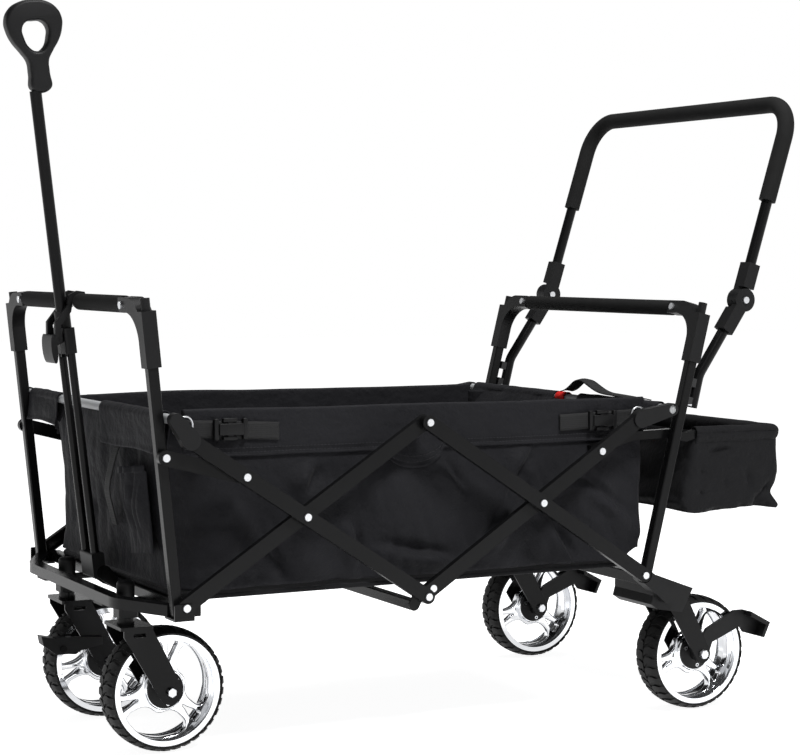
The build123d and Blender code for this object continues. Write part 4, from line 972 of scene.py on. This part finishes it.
def strap_face(side, x, z, lift):
    """A point lifted off the hem of one side."""
    share = smooth_step(z, hem_seam, hem_top)
    swell = side_swell(x, hem_seam) * (1 - share) + side_swell(x, hem_top) * share
    return Vector((x, -side * (side_y + 0.0055 + swell + lift), z))


def side_strap(name, side, start, end, z_start, z_end):
    """Lay a strap along a side panel between two distances behind the front axle."""
    def place(u, v):
        x = front_axle_x + start + u * (end - start)
        z = z_start + u * (z_end - z_start) + (v - 0.5) * 2 * strap_half
        return strap_face(side, x, z, 0.0018 + 0.0012 * ripple(x, side, 0, (30, 1, 1), 6.1))

    piece = folds_up(cloth_sheet(name, 60, 6, place, black_webbing, "front_frame", 0.0018))


def block(build, low, high, bevel):
    """Add a box with rounded edges between two corners."""
    low, high = Vector(low), Vector(high)
    made = bmesh.ops.create_cube(build, size=1)["verts"]
    size = Vector((abs(high.x - low.x), abs(high.y - low.y), abs(high.z - low.z)))
    bmesh.ops.scale(build, vec=size, verts=made)
    bmesh.ops.translate(build, vec=(low + high) / 2, verts=made)
    rounded(build, list({e for v in made for e in v.link_edges}), bevel)


def buckle(name, side, at, z):
    """A side-release buckle: two end bars, a plug body, and prongs above and below."""
    build = bmesh.new()
    x = front_axle_x + at
    base = strap_face(side, x, z, 0).y
    for x0, x1, z0, z1, depth in (
            (-0.026, -0.019, -1.18, 1.18, 0.0088), (0.019, 0.026, -1.18, 1.18, 0.0088),
            (-0.019, 0.019, -0.66, 0.66, 0.0108), (-0.012, 0.010, -1.24, -0.78, 0.0084),
            (-0.012, 0.010, 0.78, 1.24, 0.0084), (-0.005, 0.005, -0.95, 0.95, 0.0076)):
        block(build, (x + x0, base - side * depth, z + z0 * strap_half),
              (x + x1, base - side * 0.0005, z + z1 * strap_half), 0.0013)
    folds_up(finished(name, build, black_plastic, "front_frame", 40))


def wire_loop(name, side, points):
    """A closed wire loop through points given behind the axle, off the side and above the floor."""
    loop = [Vector((front_axle_x + x, -side * (side_y + out), z)) for x, out, z in points]
    build = opened(curve_mesh(name, [loop], dimensions="3D", bevel_depth=0.0014,
                              bevel_resolution=3, resolution_u=8))
    folds_up(finished(name, outwards(build), bright_zinc, "front_frame", 40))


for place, side in both_sides:
    side_strap(f"front_strap_{place}", side, -0.024, 0.122, 0.497, 0.490)
    side_strap(f"rear_strap_{place}", side, 0.607, 0.752, 0.486, 0.491)
    buckle(f"front_buckle_{place}", side, 0.044, 0.495)
    buckle(f"rear_buckle_{place}", side, 0.686, 0.488)
    wire_loop(f"front_wire_{place}", side, [
        (-0.044, 0.015, 0.508), (-0.028, 0.014, 0.515), (-0.018, 0.013, 0.511),
        (-0.017, 0.012, 0.494), (-0.026, 0.013, 0.487), (-0.044, 0.015, 0.492)])
    wire_loop(f"rear_wire_{place}", side, [
        (0.744, 0.010, 0.500), (0.750, 0.010, 0.506), (0.762, 0.011, 0.505),
        (0.767, 0.012, 0.497), (0.765, 0.012, 0.482), (0.750, 0.010, 0.478)])


# ---------------------------------------------------------------- front pocket and strap
# A small slack pocket with a folded top edge is sewn to the front panel beside the
# handle, and a strap of webbing hangs down next to it.
def panel_x(z):
    """Where the front panel stands at a height, without its folds."""
    up = (z - wall_foot) / (front_rim_at.z - wall_foot)
    return front_low + (front_high - front_low) * smooth_step(up, 0, 1) - 0.006


def pocket_point(u, v):
    """The pocket: u runs across it, v from its foot to its folded top edge."""
    y = -0.206 + 0.088 * u
    z = 0.300 + 0.130 * min(1, v / 0.92) + 0.010 * (1 - u) - 0.010 * max(0, v - 0.92) / 0.08
    slack = math.sin(math.pi * u) ** 0.7 * (0.35 + 0.65 * smooth_step(v, 0, 0.6))
    folds = 0.009 * crease(0, y + 0.2 * z, z, (1, 32, 6), 5.1) + 0.004 * crease(0, y, z, (1, 60, 18), 2.2)
    return Vector((panel_x(z) - 0.006 - slack * (0.010 + folds) - (0.003 if v > 0.86 else 0), y, z))


pocket = folds_up(cloth_sheet("front_pocket", 50, 60, pocket_point, canvas, "front_frame", 0.0016))


def front_strap_point(u, v):
    """A strap that hangs from the sleeve and bows away from the panel: v runs down it."""
    y = -0.104 + 0.044 * v ** 1.4 + (u - 0.5) * 0.020
    z = 0.462 - 0.126 * v
    bow = 0.016 * math.sin(math.pi * v)
    return Vector((panel_x(z) - 0.008 - bow - 0.002 * ripple(0, y, z, (1, 20, 30), 1.1), y, z))


hanging = folds_up(cloth_sheet("front_hanging_strap", 8, 50, front_strap_point, black_webbing,
                               "front_frame", 0.0018))


# ---------------------------------------------------------------- rear lift strap and tag
# A red tag marks the middle of the rear rim tube, beside a loop of black webbing that
# lifts the tub.
def red_tag():
    tag = Finish("red_webbing")
    weave = tag.noise(900, 2)
    return tag.varied(weave, (0.50, 0.010, 0.008), (0.70, 0.020, 0.015), 0.75, 0.1,
                      Specular_IOR_Level=0.2, Normal=tag.bump(weave, 0.0004, 0.5))


def tag_point(u, v):
    y = -0.016 + 0.028 * u
    turn = -0.75 * math.pi + v * 1.5 * math.pi
    radius = rim_tube_radius + 0.0022 + 0.0012 * abs(ripple(0, y, v, (1, 90, 3), 4.8))
    return Vector((rear_rim_at.x + radius * math.sin(turn), y, rear_rim_at.z + radius * math.cos(turn)))


tag = cloth_sheet("red_tag", 10, 30, tag_point, red_tag(), "inner_rear_arms", 0.0014)


def lift_loop(u, v):
    """A strap that rises from the tube near its middle and lies down again on it."""
    y = -0.010 - 0.235 * u
    rise = 0.021 * math.exp(-((u - 0.27) / 0.16) ** 2) + 0.004 * math.sin(math.pi * u)
    across = (v - 0.5) * 0.025
    z = rear_rim_at.z + rim_tube_radius + 0.0055 + rise - 0.2 * abs(across)
    return Vector((rear_rim_at.x + across - 0.25 * rise, y, z))


lift = cloth_sheet("rear_lift_strap", 60, 5, lift_loop, black_webbing, "inner_rear_arms", 0.0018)


# ---------------------------------------------------------------- basket bag
# A slack fabric bag hangs from the basket frame behind the tub. Its edge is sewn round
# the frame, and its sides fall in soft folds.
basket_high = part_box("basket_frame")[1]
bag_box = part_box("basket_bag")
bag_front = bag_box[0].x + 0.006
bag_rear = basket_high.x + 0.0035
bag_top = bag_box[1].z + 0.004
bag_side = basket_high.y + 0.0025
bag_depth = 0.128
bag_reach = 0.2885

# Folds of the bag's sides, given like those of the side panels.
bag_folds = [
    (0.866, 0.406, 0.930, 0.384), (0.930, 0.388, 0.926, 0.352), (0.970, 0.394, 1.000, 0.342),
    (1.028, 0.388, 0.998, 0.346), (0.866, 0.433, 0.962, 0.436), (0.830, 0.420, 0.874, 0.366),
    (0.852, 0.350, 0.894, 0.374), (0.888, 0.416, 0.930, 0.434), (0.950, 0.372, 0.968, 0.344)]


def round_rect(share, half_x, half_y, radius):
    """Point and outward direction at a share of the way round a rounded rectangle."""
    sides = (half_x - radius, half_y - radius)
    gone = share * (4 * sum(sides) + math.tau * radius)
    for quarter in range(4):
        along, out = sides[quarter % 2], sides[1 - quarter % 2]
        stretch = 2 * along + radius * math.pi / 2
        if gone <= stretch or quarter == 3:
            break
        gone -= stretch
    turn = quarter * math.pi / 2
    forward = Vector((math.cos(turn), math.sin(turn), 0))
    outward = Vector((math.sin(turn), -math.cos(turn), 0))
    if gone < 2 * along:
        return forward * (gone - along) + outward * (out + radius), outward
    bend = min(math.pi / 2, (gone - 2 * along) / radius)
    facing = forward * math.sin(bend) + outward * math.cos(bend)
    return forward * along + outward * out + facing * radius, facing


def bag_point(u, v):
    """The bag: u runs round it, v down its side and in under its bottom."""
    down = min(1, v / 0.7)
    inward = max(0, (v - 0.7) / 0.3)
    flat, out = round_rect(u, (bag_rear - bag_front) / 2, bag_side, 0.014)
    rear, front, beside = max(0, out.x), max(0, -out.x), abs(out.y)
    z = bag_top - down * bag_depth - 0.007 * math.sin(math.pi * inward / 2)
    swell = beside * -0.002 * math.sin(math.pi * down * 0.9) ** 2 + front * 0.030 * down
    swell += rear * (0.003 * math.sin(math.pi * down) - 0.007 * math.exp(-((down - 0.80) / 0.09) ** 2))
    swell += rear * 0.012 * math.exp(-((down - 0.97) / 0.06) ** 2)
    swell -= (0.012 - 0.008 * rear) * smooth_step(down, 0.88, 1.0)
    spot = Vector(((bag_rear + bag_front) / 2, 0, z)) + flat * (1 - inward) + out * swell * (1 - inward)
    loose = smooth_step(down, 0.08, 0.35) * (1 - 0.7 * inward)
    fold = 0.006 * crease(spot.x + 0.9 * z, 0.35 * spot.y, z, (12, 14, 8), 3.7) - 0.003
    fold += 0.003 * crease(spot.x - 0.8 * z, 0.5 * spot.y, z, (26, 26, 18), 8.4)
    fold *= 1 - 0.6 * rear
    fold += 0.014 * beside * pulled_folds(spot.x - front_axle_x, z, bag_folds, 0.010) * (1 - inward)
    sag = 0.008 * ripple(spot.x, spot.y, 0, (12, 7, 1), 1.9) * smooth_step(down, 0.6, 1.0)
    point = spot + out * fold * loose + Vector((0, 0, sag - 0.004 * loose))
    point.y = max(-bag_reach, min(bag_reach, point.y))
    return point


bag = cloth_sheet("basket_bag_sheet", 300, 76, bag_point, canvas_inner, "basket", 0.0020, closed=True)
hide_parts("basket_bag")
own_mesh(bag)


# The top of the bag is a sleeve round the frame's rear bar and the rear of its sides.
bar_half = 0.0055
collar_radius = 0.0092
collar_z = bag_box[1].z
collar_run = bag_rear - bag_front - 0.008


def bag_collar(u, v):
    """A rolled sleeve along one side of the frame, its rear and its other side."""
    side_mid = basket_high.y - bar_half
    rear_mid = basket_high.x - bar_half
    gone = u * (2 * collar_run + 2 * side_mid)
    turn = v * math.tau
    radius = collar_radius + 0.0012 * ripple(gone, turn, 0, (24, 0.6, 1), 2.0)
    out = radius * math.cos(turn)
    z = collar_z + (1.10 if math.sin(turn) > 0 else 1.9) * radius * math.sin(turn)
    if gone < collar_run:
        return Vector((rear_mid - collar_run + gone, -side_mid - out, z))
    if gone < collar_run + 2 * side_mid:
        y = gone - collar_run - side_mid
        return Vector((rear_mid + out, y * (1 + out / side_mid), z))
    return Vector((rear_mid - (gone - collar_run - 2 * side_mid), side_mid + out, z))


collar = cloth_sheet("basket_collar", 220, 20, bag_collar, canvas_inner, "basket", 0.0014, closed=True)
